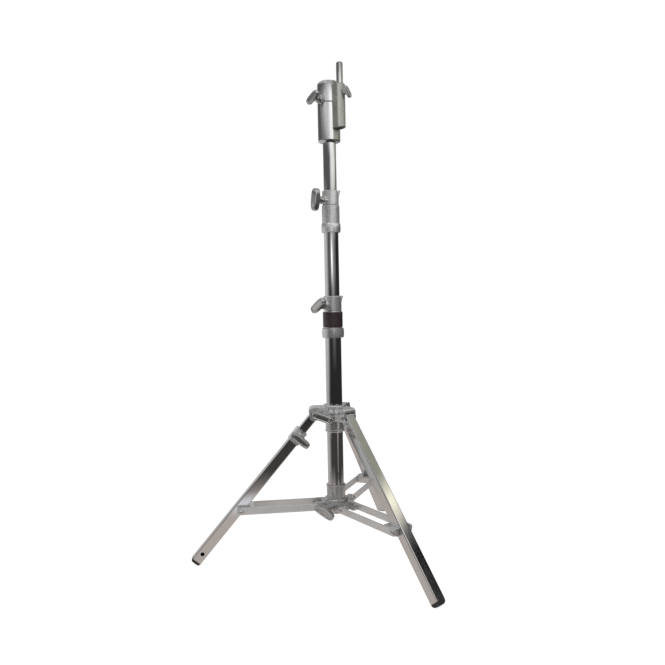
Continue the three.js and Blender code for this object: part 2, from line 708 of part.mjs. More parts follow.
function buildLowerCasting(parent) {
  let outside = toSolid(turned(lowerHubProfile()));
  const slots = [];
  const cheekOut = BRACE_FACE - GAP;
  const slot = LEG_WIDTH / 2 + 2 * GAP;
  const round = BRACE_HEIGHT / 2 + CASTING_EDGE;
  for (const azimuth of Object.values(legAzimuths)) {
    const shape = capsule(ARM_ROOT_R - BRACE_PIVOT_R, 0, round);
    const arm = plateXZ(shape, -cheekOut, cheekOut).translate(BRACE_PIVOT_R, 0, BRACE_Z);
    outside = outside.add(toSolid(arm.rotateZ(degrees(azimuth))));
    const inner = PIVOT_R - LEG_WIDTH / 2 - 2 * FIT - GAP;
    const outer = BRACE_PIVOT_R + round + OVERRUN;
    const channel = box(inner, outer, -slot, slot, LOWER_HUB_BOTTOM - OVERRUN, LOWER_HUB_TOP + OVERRUN);
    const through = cheekOut + OVERRUN;
    const hole = rodY(RIVET_D + 2 * GAP, -through, through).translate(BRACE_PIVOT_R, 0, BRACE_Z);
    slots.push(channel.rotateZ(degrees(azimuth)), hole.rotateZ(degrees(azimuth)));
  }
  finishCasting(parent, "lower_casting", outside, slots, {
    top: LOWER_NECK_TOP,
    bottom: LOWER_HUB_BOTTOM,
    hubD: LOWER_HUB_D,
    screwZ: BRACE_Z,
    turn: LOWER_HANDLE_TURN,
  });
}

// Legs hang along -Z from their pivots in their own group, which leans them out.
function legGroup(parent, azimuth) {
  const group = new THREE.Group();
  group.position.set(PIVOT_R, 0, PIVOT_Z);
  group.rotation.y = -legLean;
  turnedGroup(parent, azimuth).add(group);
  return group;
}

function roundedTopBar(width, length, wall) {
  const bar = squareBar(width, -length, 0, LEG_CORNER);
  const eye = rodY(width, -width / 2, width / 2, HIDDEN_ROUND);
  const hollow = squareBar(width - 2 * wall, -length - OVERRUN, -EYE_DEPTH, LEG_CORNER - wall / 2);
  const hole = rodY(LEG_BOLT_D + 2 * GAP, -width, width);
  return cut(join(bar, eye), hollow, hole);
}

function squareTube(width, wall, z0, z1) {
  const shape = roundedRectangle(width, width, LEG_CORNER);
  const inside = width - 2 * wall;
  shape.holes.push(roundedRectangle(inside, inside, LEG_CORNER - wall / 2));
  const options = { depth: z1 - z0, bevelEnabled: false, curveSegments: CORNER_STEPS };
  return new THREE.ExtrudeGeometry(shape, options).translate(0, 0, z0);
}

// Rubber foot: a cap with a rounded end and a plug that sits in the tube.
function footSolid() {
  const half = LEG_WIDTH / 2;
  const end = -legLength;
  const top = end + FOOT_CAP_LENGTH - GAP;
  const outline = new THREE.Shape();
  outline.moveTo(half, top);
  outline.lineTo(-half, top);
  outline.absarc(-half + FOOT_CAP_ROUND, end + FOOT_CAP_ROUND, FOOT_CAP_ROUND, HALF, THREE_QUARTERS);
  outline.absarc(half - FOOT_CAP_ROUND, end + FOOT_CAP_ROUND, FOOT_CAP_ROUND, -QUARTER, 0);
  const along = toSolid(plateXZ(outline, -half, half));
  const across = toSolid(plateXZ(outline, -half, half).rotateZ(QUARTER));
  const inside = LEG_WIDTH - 2 * LEG_WALL - 2 * GAP;
  const plugTop = end + FOOT_CAP_LENGTH + FOOT_PLUG_LENGTH;
  const plug = squareBar(inside, top - OVERRUN, plugTop, LEG_CORNER - LEG_WALL / 2);
  const blank = toSolid(squareBar(LEG_WIDTH, end - OVERRUN, top, LEG_CORNER));
  const cap = along.intersect(across).intersect(blank);
  return cap.add(toSolid(plug));
}

function buildFixedLeg(parent, leg, azimuth) {
  const group = legGroup(parent, azimuth);
  add(group, `leg_${leg}`, roundedTopBar(LEG_WIDTH, legLength - FOOT_CAP_LENGTH, LEG_WALL), chrome());
  add(group, `foot_${leg}`, footSolid(), rubber());
}

function clampSolid(boss) {
  const bore = LEG_WIDTH + 2 * GAP;
  const outer = bore + 2 * CLAMP_WALL;
  const innerBore = INNER_LEG_WIDTH + 2 * FIT;
  const clampEnd = -CLAMP_START - CLAMP_LENGTH;
  const body = squareBar(outer, clampEnd, -CLAMP_START, CLAMP_CORNER);
  const bossRod = rodY(BOSS_D, 0, boss).translate(-CLAMP_SCREW_SIDE, 0, -CLAMP_SCREW_AT);
  const tubeBore = squareBar(bore, clampEnd - OVERRUN, -OUTER_LEG_START + GAP, LEG_CORNER);
  const topBore = squareBar(innerBore, -OUTER_LEG_START, -CLAMP_START + OVERRUN, LEG_CORNER);
  const hole = rodY(SCREW_D + 2 * GAP, 0, boss + OVERRUN).translate(-CLAMP_SCREW_SIDE, 0, -CLAMP_SCREW_AT);
  return cut(join(body, bossRod), tubeBore, topBore, hole);
}

function buildLevellingLeg(parent, azimuth) {
  const group = legGroup(parent, azimuth);
  add(group, "leg_level_inner", roundedTopBar(INNER_LEG_WIDTH, INNER_LEG_LENGTH, LEG_WALL), chrome());
  const screwHole = rodY(SCREW_D + 2 * GAP, 0, LEG_WIDTH).translate(-CLAMP_SCREW_SIDE, 0, -CLAMP_SCREW_AT);
  const stopHole = rodY(STOP_HOLE_D, 0, LEG_WIDTH).translate(0, 0, STOP_HOLE_AT - legLength);
  const wall = (LEG_WIDTH - INNER_LEG_WIDTH) / 2 - GAP;
  const tube = squareTube(LEG_WIDTH, wall, FOOT_CAP_LENGTH - legLength, -OUTER_LEG_START);
  add(group, "leg_level_outer", cut(toSolid(tube), screwHole, stopHole), chrome());
  add(group, "foot_level", footSolid(), rubber());
  const boss = LEG_WIDTH / 2 + GAP + CLAMP_WALL + BOSS_REACH;
  add(group, "level_clamp", clampSolid(boss), satinCasting());
  const handleGroup = new THREE.Group();
  handleGroup.position.set(-CLAMP_SCREW_SIDE, 0, -CLAMP_SCREW_AT);
  handleGroup.rotation.z = QUARTER;
  group.add(handleGroup);
  const handle = handleSolid(INNER_LEG_WIDTH / 2 + 2 * GAP, boss, CLAMP_HANDLE_REACH);
  add(handleGroup, "level_lock_handle", handle, satinCasting()).rotation.x = QUARTER;
}

function legBolt(leg) {
  const half = legWidth(leg) / 2 + FIT + CHEEK;
  const shank = rodY(LEG_BOLT_D, -half - GAP, half + GAP);
  const head = rodY(BOLT_HEAD_D, half + GAP, half + GAP + BOLT_HEAD_H, HEX);
  const nut = rodY(BOLT_HEAD_D, -half - GAP - BOLT_HEAD_H, -half - GAP, HEX);
  return join(shank, head, nut);
}

// Bracket that hugs the leg where the braces meet it
function bracketSolid() {
  const half = BRACKET_HEIGHT / 2;
  const width = BRACE_FACE - GAP;
  const shape = new THREE.Shape();
  shape.moveTo(BRACKET_OUTER, -half);
  shape.lineTo(BRACKET_OUTER, half);
  shape.lineTo(-BRACKET_REACH, half);
  shape.lineTo(-BRACKET_REACH, -half);
  const block = plateXZ(shape, -width, width, RIM_STEP);
  const passage = squareBar(LEG_WIDTH + 2 * GAP, -LEG_WIDTH * 2, LEG_WIDTH * 2, LEG_CORNER).rotateY(-legLean);
  return cut(toSolid(block), passage);
}

// Brace bar: round at the casting, square at the leg, where it ends on the leg's middle line.
function braceBar(length) {
  const half = BRACE_HEIGHT / 2;
  const end = length + BRACE_INSET;
  const shape = new THREE.Shape();
  shape.absarc(end - BRACE_CORNER, BRACE_CORNER - half, BRACE_CORNER, -QUARTER, 0);
  shape.absarc(end - BRACE_CORNER, half - BRACE_CORNER, BRACE_CORNER, 0, QUARTER);
  shape.absarc(0, 0, half, QUARTER, THREE_QUARTERS);
  for (const x of [0, length]) {
    const hole = new THREE.Path();
    hole.absarc(x, 0, RIVET_D / 2 + GAP, 0, FULL);
    shape.holes.push(hole);
  }
  return plateXZ(shape, 0, BRACE_THICK, 0, END_STEPS);
}

function rivet(depth, headHeight = RIVET_HEAD_H) {
  const face = BRACE_FACE + BRACE_THICK + GAP;
  const shank = rodY(RIVET_D, depth, face + GAP, RIVET_SHANK_ROUND);
  const head = rodY(RIVET_HEAD_D, face, face + headHeight, RIVET_ROUND);
  return join(shank, head);
}

function buildBraces(parent, leg, azimuth) {
  const group = turnedGroup(parent, azimuth, BRACE_Z);
  const length = bracePinR - BRACE_PIVOT_R;
  add(group, `bracket_${leg}`, bracketSolid(), satinCasting()).position.x = braceLegR;
  const sides = { a: 1, b: -1 };
  for (const [side, sign] of Object.entries(sides)) {
    const bar = add(group, `brace_${leg}_${side}`, braceBar(length), chrome());
    bar.position.set(BRACE_PIVOT_R, sign > 0 ? BRACE_FACE : -BRACE_FACE - BRACE_THICK, 0);
    const turnRound = sign > 0 ? 0 : HALF;
    const inner = add(group, `brace_rivet_${leg}_${side}`, rivet(LEG_WIDTH / 2 + 2 * GAP), zinc());
    inner.position.x = BRACE_PIVOT_R;
    inner.rotation.z = turnRound;
    const pin = rivet(BRACE_FACE + GAP, sign > 0 ? PIN_NUT_H : RIVET_HEAD_H);
    const outer = add(group, `brace_pin_${leg}_${side}`, pin, zinc());
    outer.position.x = bracePinR;
    outer.rotation.z = turnRound;
  }
}

function buildTripod(parent) {
  buildTopCasting(parent);
  buildLowerCasting(parent);
  for (const [leg, azimuth] of Object.entries(legAzimuths)) {
    if (leg === "level") {
      buildLevellingLeg(parent, azimuth);
    } else {
      buildFixedLeg(parent, leg, azimuth);
    }
    const boltGroup = turnedGroup(parent, azimuth, PIVOT_Z);
    add(boltGroup, `leg_bolt_${leg}`, legBolt(leg), zinc()).position.x = PIVOT_R;
    buildBraces(parent, leg, azimuth);
  }
}

buildHead(upright);
buildBabyPin(upright);
buildRiser(upright, 2, RISER_2_D, riser2Bottom, riser2Top, RISER_1_D - 2 * TUBE_WALL);
buildRiser(upright, 1, RISER_1_D, riser1Bottom, riser1Top, COLUMN_D - 2 * TUBE_WALL);
buildCollars(upright);
buildColumn(upright);
buildTripod(upright);

// The origin goes to the floor, under the middle of the footprint.
stand.updateMatrixWorld(true);
const bounds = new THREE.Box3().setFromObject(stand, true);
const middle = bounds.getCenter(new THREE.Vector3());
upright.position.set(-middle.x, -middle.y, -bounds.min.z);

export default stand;
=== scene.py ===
"""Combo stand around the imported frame: camera, studio, finishes and the fine pieces."""

import json
import math

import bpy
import bmesh
from mathutils import Matrix, Vector

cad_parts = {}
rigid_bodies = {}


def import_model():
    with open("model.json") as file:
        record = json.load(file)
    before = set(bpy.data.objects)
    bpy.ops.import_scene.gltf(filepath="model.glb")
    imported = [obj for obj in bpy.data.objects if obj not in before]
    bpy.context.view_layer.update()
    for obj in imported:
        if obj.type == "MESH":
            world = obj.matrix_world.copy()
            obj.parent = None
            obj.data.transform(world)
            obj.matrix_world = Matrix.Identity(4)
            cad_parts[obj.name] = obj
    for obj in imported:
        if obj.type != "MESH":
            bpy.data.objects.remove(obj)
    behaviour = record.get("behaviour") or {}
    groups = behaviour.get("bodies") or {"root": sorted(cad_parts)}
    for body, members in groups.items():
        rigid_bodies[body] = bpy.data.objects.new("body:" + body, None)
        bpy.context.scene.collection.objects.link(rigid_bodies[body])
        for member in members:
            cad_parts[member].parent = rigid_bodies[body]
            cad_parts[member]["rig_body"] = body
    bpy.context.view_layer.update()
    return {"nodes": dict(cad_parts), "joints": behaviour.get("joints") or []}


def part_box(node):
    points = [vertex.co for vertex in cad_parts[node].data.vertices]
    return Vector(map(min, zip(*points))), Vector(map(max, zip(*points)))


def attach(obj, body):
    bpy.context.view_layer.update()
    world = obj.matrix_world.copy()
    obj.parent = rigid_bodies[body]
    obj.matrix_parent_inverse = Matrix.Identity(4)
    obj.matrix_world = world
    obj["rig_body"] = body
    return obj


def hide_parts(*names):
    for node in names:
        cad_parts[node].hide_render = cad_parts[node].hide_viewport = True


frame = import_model()
NODES = frame["nodes"]
JOINTS = {joint["name"]: joint for joint in frame["joints"]}

MM = 0.001
UP = Vector((0, 0, 1))

# The photograph's camera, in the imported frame
IMAGE = 665
FOCAL_PX = 641.91
CENTRE_X_PX = 333.03
SENSOR_MM = 36.0
COLUMN_X = 86.2035 * MM
CAMERA_AZIMUTH = math.radians(-6.76)
CAMERA_DISTANCE = 1599.84 * MM
CAMERA_HEIGHT = 673.27 * MM
CAMERA_PITCH = math.radians(3.70)
CAMERA_ROLL = math.radians(-1.12)
CAMERA_CLIP = (0.05, 50)
CAMERA_BACK = Vector((math.sin(CAMERA_AZIMUTH), -math.cos(CAMERA_AZIMUTH), 0))
CAMERA_RIGHT = Vector((math.cos(CAMERA_AZIMUTH), math.sin(CAMERA_AZIMUTH), 0))

# Directions of the legs, seen from above, and how far they lean
LEG_AZIMUTHS = {"level": math.pi, "right": math.radians(-60), "rear": math.radians(60)}
LEG_LEAN = math.radians(40.555)

# Each T handle turns about its own screw's joint
HANDLE_JOINTS = {
    "junior_lock_handle": "junior_lock_turn",
    "pin_lock_handle": "pin_lock_turn",
    "collar_1_handle": "collar_1_lock_turn",
    "collar_2_handle": "collar_2_lock_turn",
    "top_casting_handle": "top_casting_lock_turn",
    "lower_casting_handle": "lower_casting_lock_turn",
    "level_lock_handle": "level_lock_turn",
}


def new_object(name, data):
    obj = bpy.data.objects.new(name, data)
    bpy.context.scene.collection.objects.link(obj)
    return obj


def camera():
    forward = -CAMERA_BACK * math.cos(CAMERA_PITCH) - UP * math.sin(CAMERA_PITCH)
    upward = -CAMERA_BACK * math.sin(CAMERA_PITCH) + UP * math.cos(CAMERA_PITCH)
    x_axis = CAMERA_RIGHT * math.cos(CAMERA_ROLL) + upward * math.sin(CAMERA_ROLL)
    y_axis = -CAMERA_RIGHT * math.sin(CAMERA_ROLL) + upward * math.cos(CAMERA_ROLL)
    data = bpy.data.cameras.new("camera")
    data.sensor_width = SENSOR_MM
    data.lens = FOCAL_PX / IMAGE * SENSOR_MM
    data.shift_x = (IMAGE / 2 - CENTRE_X_PX) / IMAGE
    data.clip_start, data.clip_end = CAMERA_CLIP
    eye = new_object("camera", data)
    turn = Matrix((x_axis, y_axis, -forward)).transposed()
    place = Vector((COLUMN_X, 0, CAMERA_HEIGHT)) + CAMERA_BACK * CAMERA_DISTANCE
    eye.matrix_world = Matrix.Translation(place) @ turn.to_4x4()
    bpy.context.scene.camera = eye


# Node helpers
class Graph:
    """A small helper that adds nodes to a tree and links them."""

    def __init__(self, tree):
        self.tree = tree
        self.nodes = tree.nodes
        self.links = tree.links

    def add(self, kind, **settings):
        node = self.nodes.new(kind)
        for key, value in settings.items():
            setattr(node, key, value)
        return node

    def put(self, socket, value):
        if isinstance(value, bpy.types.NodeSocket):
            self.links.new(value, socket)
        elif value is not None:
            socket.default_value = value

    def math(self, operation, a, b=None, clamp=False):
        node = self.add("ShaderNodeMath", operation=operation, use_clamp=clamp)
        for socket, value in zip(node.inputs, (a, b)):
            self.put(socket, value)
        return node.outputs[0]

    def plus(self, a, b, clamp=False):
        return self.math("ADD", a, b, clamp)

    def minus(self, a, b):
        return self.math("SUBTRACT", a, b)

    def times(self, a, b):
        return self.math("MULTIPLY", a, b)

    def length(self, u, v):
        return self.math("SQRT", self.plus(self.times(u, u), self.times(v, v)))

    def place(self):
        """Where a point of the surface is, in its object's own frame."""
        return self.add("ShaderNodeTexCoord").outputs["Object"]

    def dot(self, vector, direction):
        node = self.add("ShaderNodeVectorMath", operation="DOT_PRODUCT")
        self.put(node.inputs[0], vector)
        self.put(node.inputs[1], direction)
        return node.outputs["Value"]

    def combine(self, x, y, z):
        node = self.add("ShaderNodeCombineXYZ")
        for socket, value in zip(node.inputs, (x, y, z)):
            self.put(socket, value)
        return node.outputs[0]

    def noise(self, vector, scale, detail, roughness):
        node = self.add("ShaderNodeTexNoise")
        self.put(node.inputs["Vector"], vector)
        self.put(node.inputs["Scale"], scale)
        self.put(node.inputs["Detail"], detail)
        self.put(node.inputs["Roughness"], roughness)
        return node.outputs["Fac"]

    def between(self, factor, low=0.0, high=1.0, start=0.0, end=1.0):
        """From low to high while the factor goes from start to end, and level beyond them."""
        node = self.add("ShaderNodeMapRange")
        node.clamp = True
        for name, value in (
            ("Value", factor),
            ("From Min", start),
            ("From Max", end),
            ("To Min", low),
            ("To Max", high),
        ):
            self.put(node.inputs[name], value)
        return node.outputs["Result"]

    def mix(self, factor, a, b):
        node = self.add("ShaderNodeMix", data_type="RGBA")
        self.put(node.inputs["Factor"], factor)
        self.put(node.inputs[6], shade(a))
        self.put(node.inputs[7], shade(b))
        return node.outputs[2]

    def bump(self, height, distance, strength, normal=None):
        node = self.add("ShaderNodeBump")
        self.put(node.inputs["Height"], height)
        self.put(node.inputs["Distance"], distance)
        self.put(node.inputs["Strength"], strength)
        self.put(node.inputs["Normal"], normal)
        return node.outputs["Normal"]


def shade(colour):
    """A colour as four numbers: a single number is a grey."""
    if isinstance(colour, bpy.types.NodeSocket):
        return colour
    if isinstance(colour, (int, float)):
        return (colour, colour, colour, 1.0)
    return (*colour[:3], 1.0)


def new_material(name):
    material = bpy.data.materials.new(name)
    material.use_nodes = True
    graph = Graph(material.node_tree)
    graph.nodes.clear()
    output = graph.add("ShaderNodeOutputMaterial")
    return material, graph, output


def principled(graph, output, base, roughness, normal, metallic, **constants):
    node = graph.add("ShaderNodeBsdfPrincipled")
    graph.put(node.inputs["Base Color"], shade(base))
    graph.put(node.inputs["Roughness"], roughness)
    graph.put(node.inputs["Metallic"], metallic)
    graph.put(node.inputs["Normal"], normal)
    for name, value in constants.items():
        node.inputs[name.replace("_", " ")].default_value = value
    graph.links.new(node.outputs[0], output.inputs["Surface"])


def streaks(graph, direction, fine, long, detail, roughness):
    """Noise stretched along a direction: fine steps across it and long ones along it, per metre."""
    axis = Vector(direction).normalized()
    side = axis.orthogonal().normalized()
    other = axis.cross(side)
    place = graph.place()
    u = graph.times(graph.dot(place, side), fine)
    v = graph.times(graph.dot(place, other), fine)
    w = graph.times(graph.dot(place, axis), long)
    return graph.noise(graph.combine(u, v, w), 1.0, detail, roughness)


def varied(graph, factor, tone, low, high):
    """A grey that goes from low to high, in shares of a tone."""
    return graph.mix(factor, tone * low, min(tone * high, 1.0))


def uneven(graph, factor, dull, low, high, start, end):
    """A roughness that goes from low to high, in shares of its mean, while the factor goes from start to end."""
    return graph.between(factor, dull * low, min(dull * high, 1.0), start, end)


def tinted(tone, tint):
    return [tone * part for part in tint]


# Finishes. Noise scales are steps per metre, bump distances are metres, and tints are shares of a finish's tone.
GRIME_TINT = (0.8, 0.79, 0.75)
BAR_GRIME_TINT = (0.78, 0.77, 0.74)
# How far a casting is darkened in the low places of its grain: painted shade and grime
HOLLOW_SHADE_AND_GRIME_TINT = (0.5, 0.49, 0.46)
PIT_COLOUR = (0.2, 0.18, 0.16)
PIT_SHARE = 0.6
PIT_ROUGH = 0.3
WORN_ROUGH = 0.05
HOLLOW_SHADE_AND_GRIME_SHARE = 0.22
HOLLOW_ROUGH = 0.16
NICK_COLOUR = 0.25
NICK_SHARE = 0.5
NICK_ROUGH = 0.2
BAR_METAL = 0.7
AS_CAST = ((0.4, 0.4, 0.37), (0.5, 0.5, 0.46))
AS_CAST_ROUGH = 0.3
AS_CAST_EDGE = 1.06
SCUFF_DIRECTION = (1, 0.3, 0.15)
COAT_ROUGH = 0.2


def chrome(name, direction, tone, dull, lines, matte=None):
    """Plated steel drawn along a direction: long fine lines, smudges, pits and sliding scratches.
    Within a radius of an upright line, given as (place, radius), it is left as cast."""
    material, graph, output = new_material(name)
    place = graph.place()
    drawn = streaks(graph, direction, fine=420.0, long=2.2, detail=4.0, roughness=0.62)
    hairs = streaks(graph, direction, fine=1500.0, long=14.0, detail=2.0, roughness=0.5)
    smudge = graph.noise(place, scale=23.0, detail=4.0, roughness=0.6)
    grime = graph.noise(place, scale=6.5, detail=3.0, roughness=0.55)
    pits = graph.noise(place, scale=900.0, detail=1.0, roughness=0.4)
    worn = graph.between(hairs, start=0.6, end=0.72)
    speck = graph.between(pits, start=0.7, end=0.76)
    clean = varied(graph, smudge, tone, low=0.93, high=1.04)
    dirty = graph.between(grime, high=0.35, start=0.5, end=0.72)
    base = graph.mix(dirty, clean, tinted(tone, GRIME_TINT))
    base = graph.mix(graph.times(speck, PIT_SHARE), base, PIT_COLOUR)
    rough = uneven(graph, smudge, dull, low=0.75, high=1.5, start=0.3, end=0.72)
    rough = graph.plus(rough, graph.times(worn, WORN_ROUGH))
    rough = graph.plus(rough, graph.times(speck, PIT_ROUGH), clamp=True)
    if matte:
        (x, y), radius = matte
        u = graph.minus(graph.dot(place, (1, 0, 0)), x)
        v = graph.minus(graph.dot(place, (0, 1, 0)), y)
        cast = graph.between(graph.length(u, v), low=1.0, high=0.0, start=radius, end=radius * AS_CAST_EDGE)
        base = graph.mix(cast, base, graph.mix(smudge, *AS_CAST))
        rough = graph.plus(rough, graph.times(cast, AS_CAST_ROUGH))
    normal = graph.bump(drawn, distance=0.00006 * lines, strength=0.35)
    normal = graph.bump(graph.minus(1.0, worn), distance=0.00001, strength=0.4, normal=normal)
    principled(graph, output, base, rough, normal, metallic=1.0)
    return material


def casting(name, tone, dull, grain, metal=0.88):
    """Plated casting: a skin with fine grain and soft dents, darker in the grain's low places: painted shade and
    grime.
    """
    material, graph, output = new_material(name)
    place = graph.place()
    grit = graph.noise(place, scale=260.0, detail=3.0, roughness=0.55)
    fine = graph.noise(place, scale=1150.0, detail=2.0, roughness=0.5)
    dents = graph.noise(place, scale=75.0, detail=2.0, roughness=0.5)
    patches = graph.noise(place, scale=30.0, detail=4.0, roughness=0.62)
    # Painted shade and grime: the low places of the fine grain, which also bumps the skin, are darkened
    hollow_shade_and_grime = graph.between(grit, low=1.0, high=0.0, start=0.28, end=0.46)
    clean = varied(graph, patches, tone, low=0.86, high=1.08)
    base = graph.mix(graph.times(hollow_shade_and_grime, HOLLOW_SHADE_AND_GRIME_SHARE), clean, tinted(tone, HOLLOW_SHADE_AND_GRIME_TINT))
    rough = uneven(graph, patches, dull, low=0.8, high=1.35, start=0.3, end=0.7)
    rough = graph.plus(rough, graph.times(hollow_shade_and_grime, HOLLOW_ROUGH), clamp=True)
    normal = graph.bump(dents, distance=0.0004 * grain, strength=0.22)
    normal = graph.bump(grit, distance=0.00006 * grain, strength=0.25, normal=normal)
    normal = graph.bump(fine, distance=0.000018 * grain, strength=0.25, normal=normal)
    principled(graph, output, base, rough, normal, metallic=metal)
    return material


def brushed(name, direction, tone, dull):
    """Flat bar with a brushed plated face, its lines along a direction."""
    material, graph, output = new_material(name)
    place = graph.place()
    lines = streaks(graph, direction, fine=1300.0, long=9.0, detail=3.0, roughness=0.6)
    broad = streaks(graph, direction, fine=160.0, long=3.0, detail=2.0, roughness=0.5)
    patches = graph.noise(place, scale=34.0, detail=4.0, roughness=0.6)
    pits = graph.noise(place, scale=420.0, detail=2.0, roughness=0.5)
    nicks = graph.between(pits, start=0.68, end=0.74)
    clean = varied(graph, lines, tone, low=0.86, high=1.1)
    dirty = graph.between(patches, high=0.4, start=0.45, end=0.75)
    base = graph.mix(dirty, clean, tinted(tone, BAR_GRIME_TINT))
    base = graph.mix(graph.times(nicks, NICK_SHARE), base, NICK_COLOUR)
    rough = uneven(graph, broad, dull, low=0.8, high=1.3, start=0.3, end=0.7)
    rough = graph.plus(rough, graph.times(nicks, NICK_ROUGH), clamp=True)
    normal = graph.bump(lines, distance=0.00005, strength=0.4)
    principled(graph, output, base, rough, normal, metallic=BAR_METAL)
    return material


def moulded(name, colour, dull, grain=0.00012, dust=(0.16, 0.15, 0.14), dust_share=0.25, coat=0.0):
    """Moulded rubber or plastic: grain, scuffs, and patches of dust."""
    material, graph, output = new_material(name)
    place = graph.place()
    grit = graph.noise(place, scale=1500.0, detail=2.0, roughness=0.5)
    scuffs = streaks(graph, SCUFF_DIRECTION, fine=260.0, long=30.0, detail=3.0, roughness=0.6)
    patches = graph.noise(place, scale=60.0, detail=4.0, roughness=0.6)
    dusty = graph.times(graph.between(patches, start=0.45, end=0.75), dust_share)
    clean = graph.mix(grit, tinted(0.75, colour), tinted(1.3, colour))
    base = graph.mix(dusty, clean, dust)
    rough = uneven(graph, scuffs, dull, low=0.8, high=1.3, start=0.35, end=0.7)
    normal = graph.bump(grit, distance=grain, strength=0.5)
    normal = graph.bump(scuffs, distance=grain, strength=0.3, normal=normal)
    principled(graph, output, base, rough, normal, metallic=0.0, Coat_Weight=coat, Coat_Roughness=COAT_ROUGH)
    return material


# Rounded edges and smooth shading, as modifiers that leave a CAD mesh as it is
WELD_DISTANCE = 0.00002
FLAT_ANGLE = math.radians(0.4)
BEVEL_ANGLE = math.radians(32)
SHARP_ANGLE = math.radians(30)
NORMAL_WEIGHT = 100


def edge_group(angle):
    """A modifier that shades faces smooth and keeps the edges over an angle crisp."""
    group = bpy.data.node_groups.new("soft_faces", "GeometryNodeTree")
    group.interface.new_socket("Geometry", in_out="INPUT", socket_type="NodeSocketGeometry")
    group.interface.new_socket("Geometry", in_out="OUTPUT", socket_type="NodeSocketGeometry")
    graph = Graph(group)
    start = graph.add("NodeGroupInput")
    end = graph.add("NodeGroupOutput")
    faces = graph.add("GeometryNodeSetShadeSmooth", domain="FACE")
    faces.inputs["Shade Smooth"].default_value = True
    edges = graph.add("GeometryNodeSetShadeSmooth", domain="EDGE")
    edges.inputs["Shade Smooth"].default_value = False
    turn = graph.add("GeometryNodeInputMeshEdgeAngle")
    compare = graph.add("FunctionNodeCompare", data_type="FLOAT", operation="GREATER_THAN")
    graph.links.new(turn.outputs["Unsigned Angle"], compare.inputs[0])
    compare.inputs[1].default_value = angle
    graph.links.new(start.outputs[0], faces.inputs["Geometry"])
    graph.links.new(faces.outputs[0], edges.inputs["Geometry"])
    graph.links.new(compare.outputs[0], edges.inputs["Selection"])
    graph.links.new(edges.outputs[0], end.inputs[0])
    return group


CRISP = edge_group(SHARP_ANGLE)


def shade_crisp(obj):
    shading = obj.modifiers.new("shading", "NODES")
    shading.node_group = CRISP


def soften(obj, edge, segments):
    """Rounds a solid's edges by a little and shades its faces smooth."""
    weld = obj.modifiers.new("weld", "WELD")
    weld.merge_threshold = WELD_DISTANCE
    flat = obj.modifiers.new("flat", "DECIMATE")
    flat.decimate_type = "DISSOLVE"
    flat.angle_limit = FLAT_ANGLE
    bevel = obj.modifiers.new("edge", "BEVEL")
    bevel.width = edge
    bevel.segments = segments
    bevel.limit_method = "ANGLE"
    bevel.angle_limit = BEVEL_ANGLE
    bevel.use_clamp_overlap = True
    shade_crisp(obj)
    weighted = obj.modifiers.new("weighted", "WEIGHTED_NORMAL")
    weighted.mode = "FACE_AREA"
    weighted.weight = NORMAL_WEIGHT
    weighted.keep_sharp = True


def dress(node, material, edge, segments=2):
    obj = NODES[node]
    if obj.material_slots:
        for slot in obj.material_slots:
            slot.material = material
    else:
        obj.data.materials.append(material)
    soften(obj, edge, segments)


# Fine pieces that stand for plain CAD nodes
def baked(obj):
    """The object's mesh with its modifiers applied, as plain data."""
    graph = bpy.context.evaluated_depsgraph_get()
    mesh = bpy.data.meshes.new_from_object(obj.evaluated_get(graph))
    bpy.data.objects.remove(obj)
    return mesh


def finish_piece(name, mesh, node, material):
    """Places a piece that stands for a CAD node on that node's body."""
    mesh.name = name
    mesh.materials.clear()
    mesh.materials.append(material)
    obj = new_object(name, mesh)
    shade_crisp(obj)
    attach(obj, NODES[node]["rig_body"])
    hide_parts(node)


def skin(mesh, rings):
    """Closed skin over rings of equal length, capped at both ends."""
    first = len(mesh.verts)
    count = len(rings[0])
    for row in rings:
        for point in row:
            mesh.verts.new(point)
    mesh.verts.ensure_lookup_table()
    grid = [mesh.verts[first + r * count:first + (r + 1) * count] for r in range(len(rings))]
    for lower, upper in zip(grid, grid[1:]):
        for i in range(count):
            j = (i + 1) % count
            mesh.faces.new((lower[i], lower[j], upper[j], upper[i]))
    mesh.faces.new(tuple(reversed(grid[0])))
    mesh.faces.new(tuple(grid[-1]))


def to_mesh(name, build):
    mesh = bmesh.new()
    build(mesh)
    bmesh.ops.recalc_face_normals(mesh, faces=mesh.faces)
    data = bpy.data.meshes.new(name)
    mesh.to_mesh(data)
    mesh.free()
    return data


def oval(a, b, power, steps):
    """Points of a superellipse with half sizes a and b."""
    def reach(size, share):
        return math.copysign(abs(share) ** (2 / power), share) * size

    points = []
    for step in range(steps):
        turn = 2 * math.pi * step / steps
        points.append((reach(a, math.cos(turn)), reach(b, math.sin(turn))))
    return points


def smooth_step(low, high, value):
    t = min(max((value - low) / (high - low), 0.0), 1.0)
    return t * t * (3 - 2 * t)


# How much of a piece's tip shows its shank, and how much wider than the screw a handle's hub is at least
TIP_SLICE = 0.0005
HUB_MARGIN = 1.25


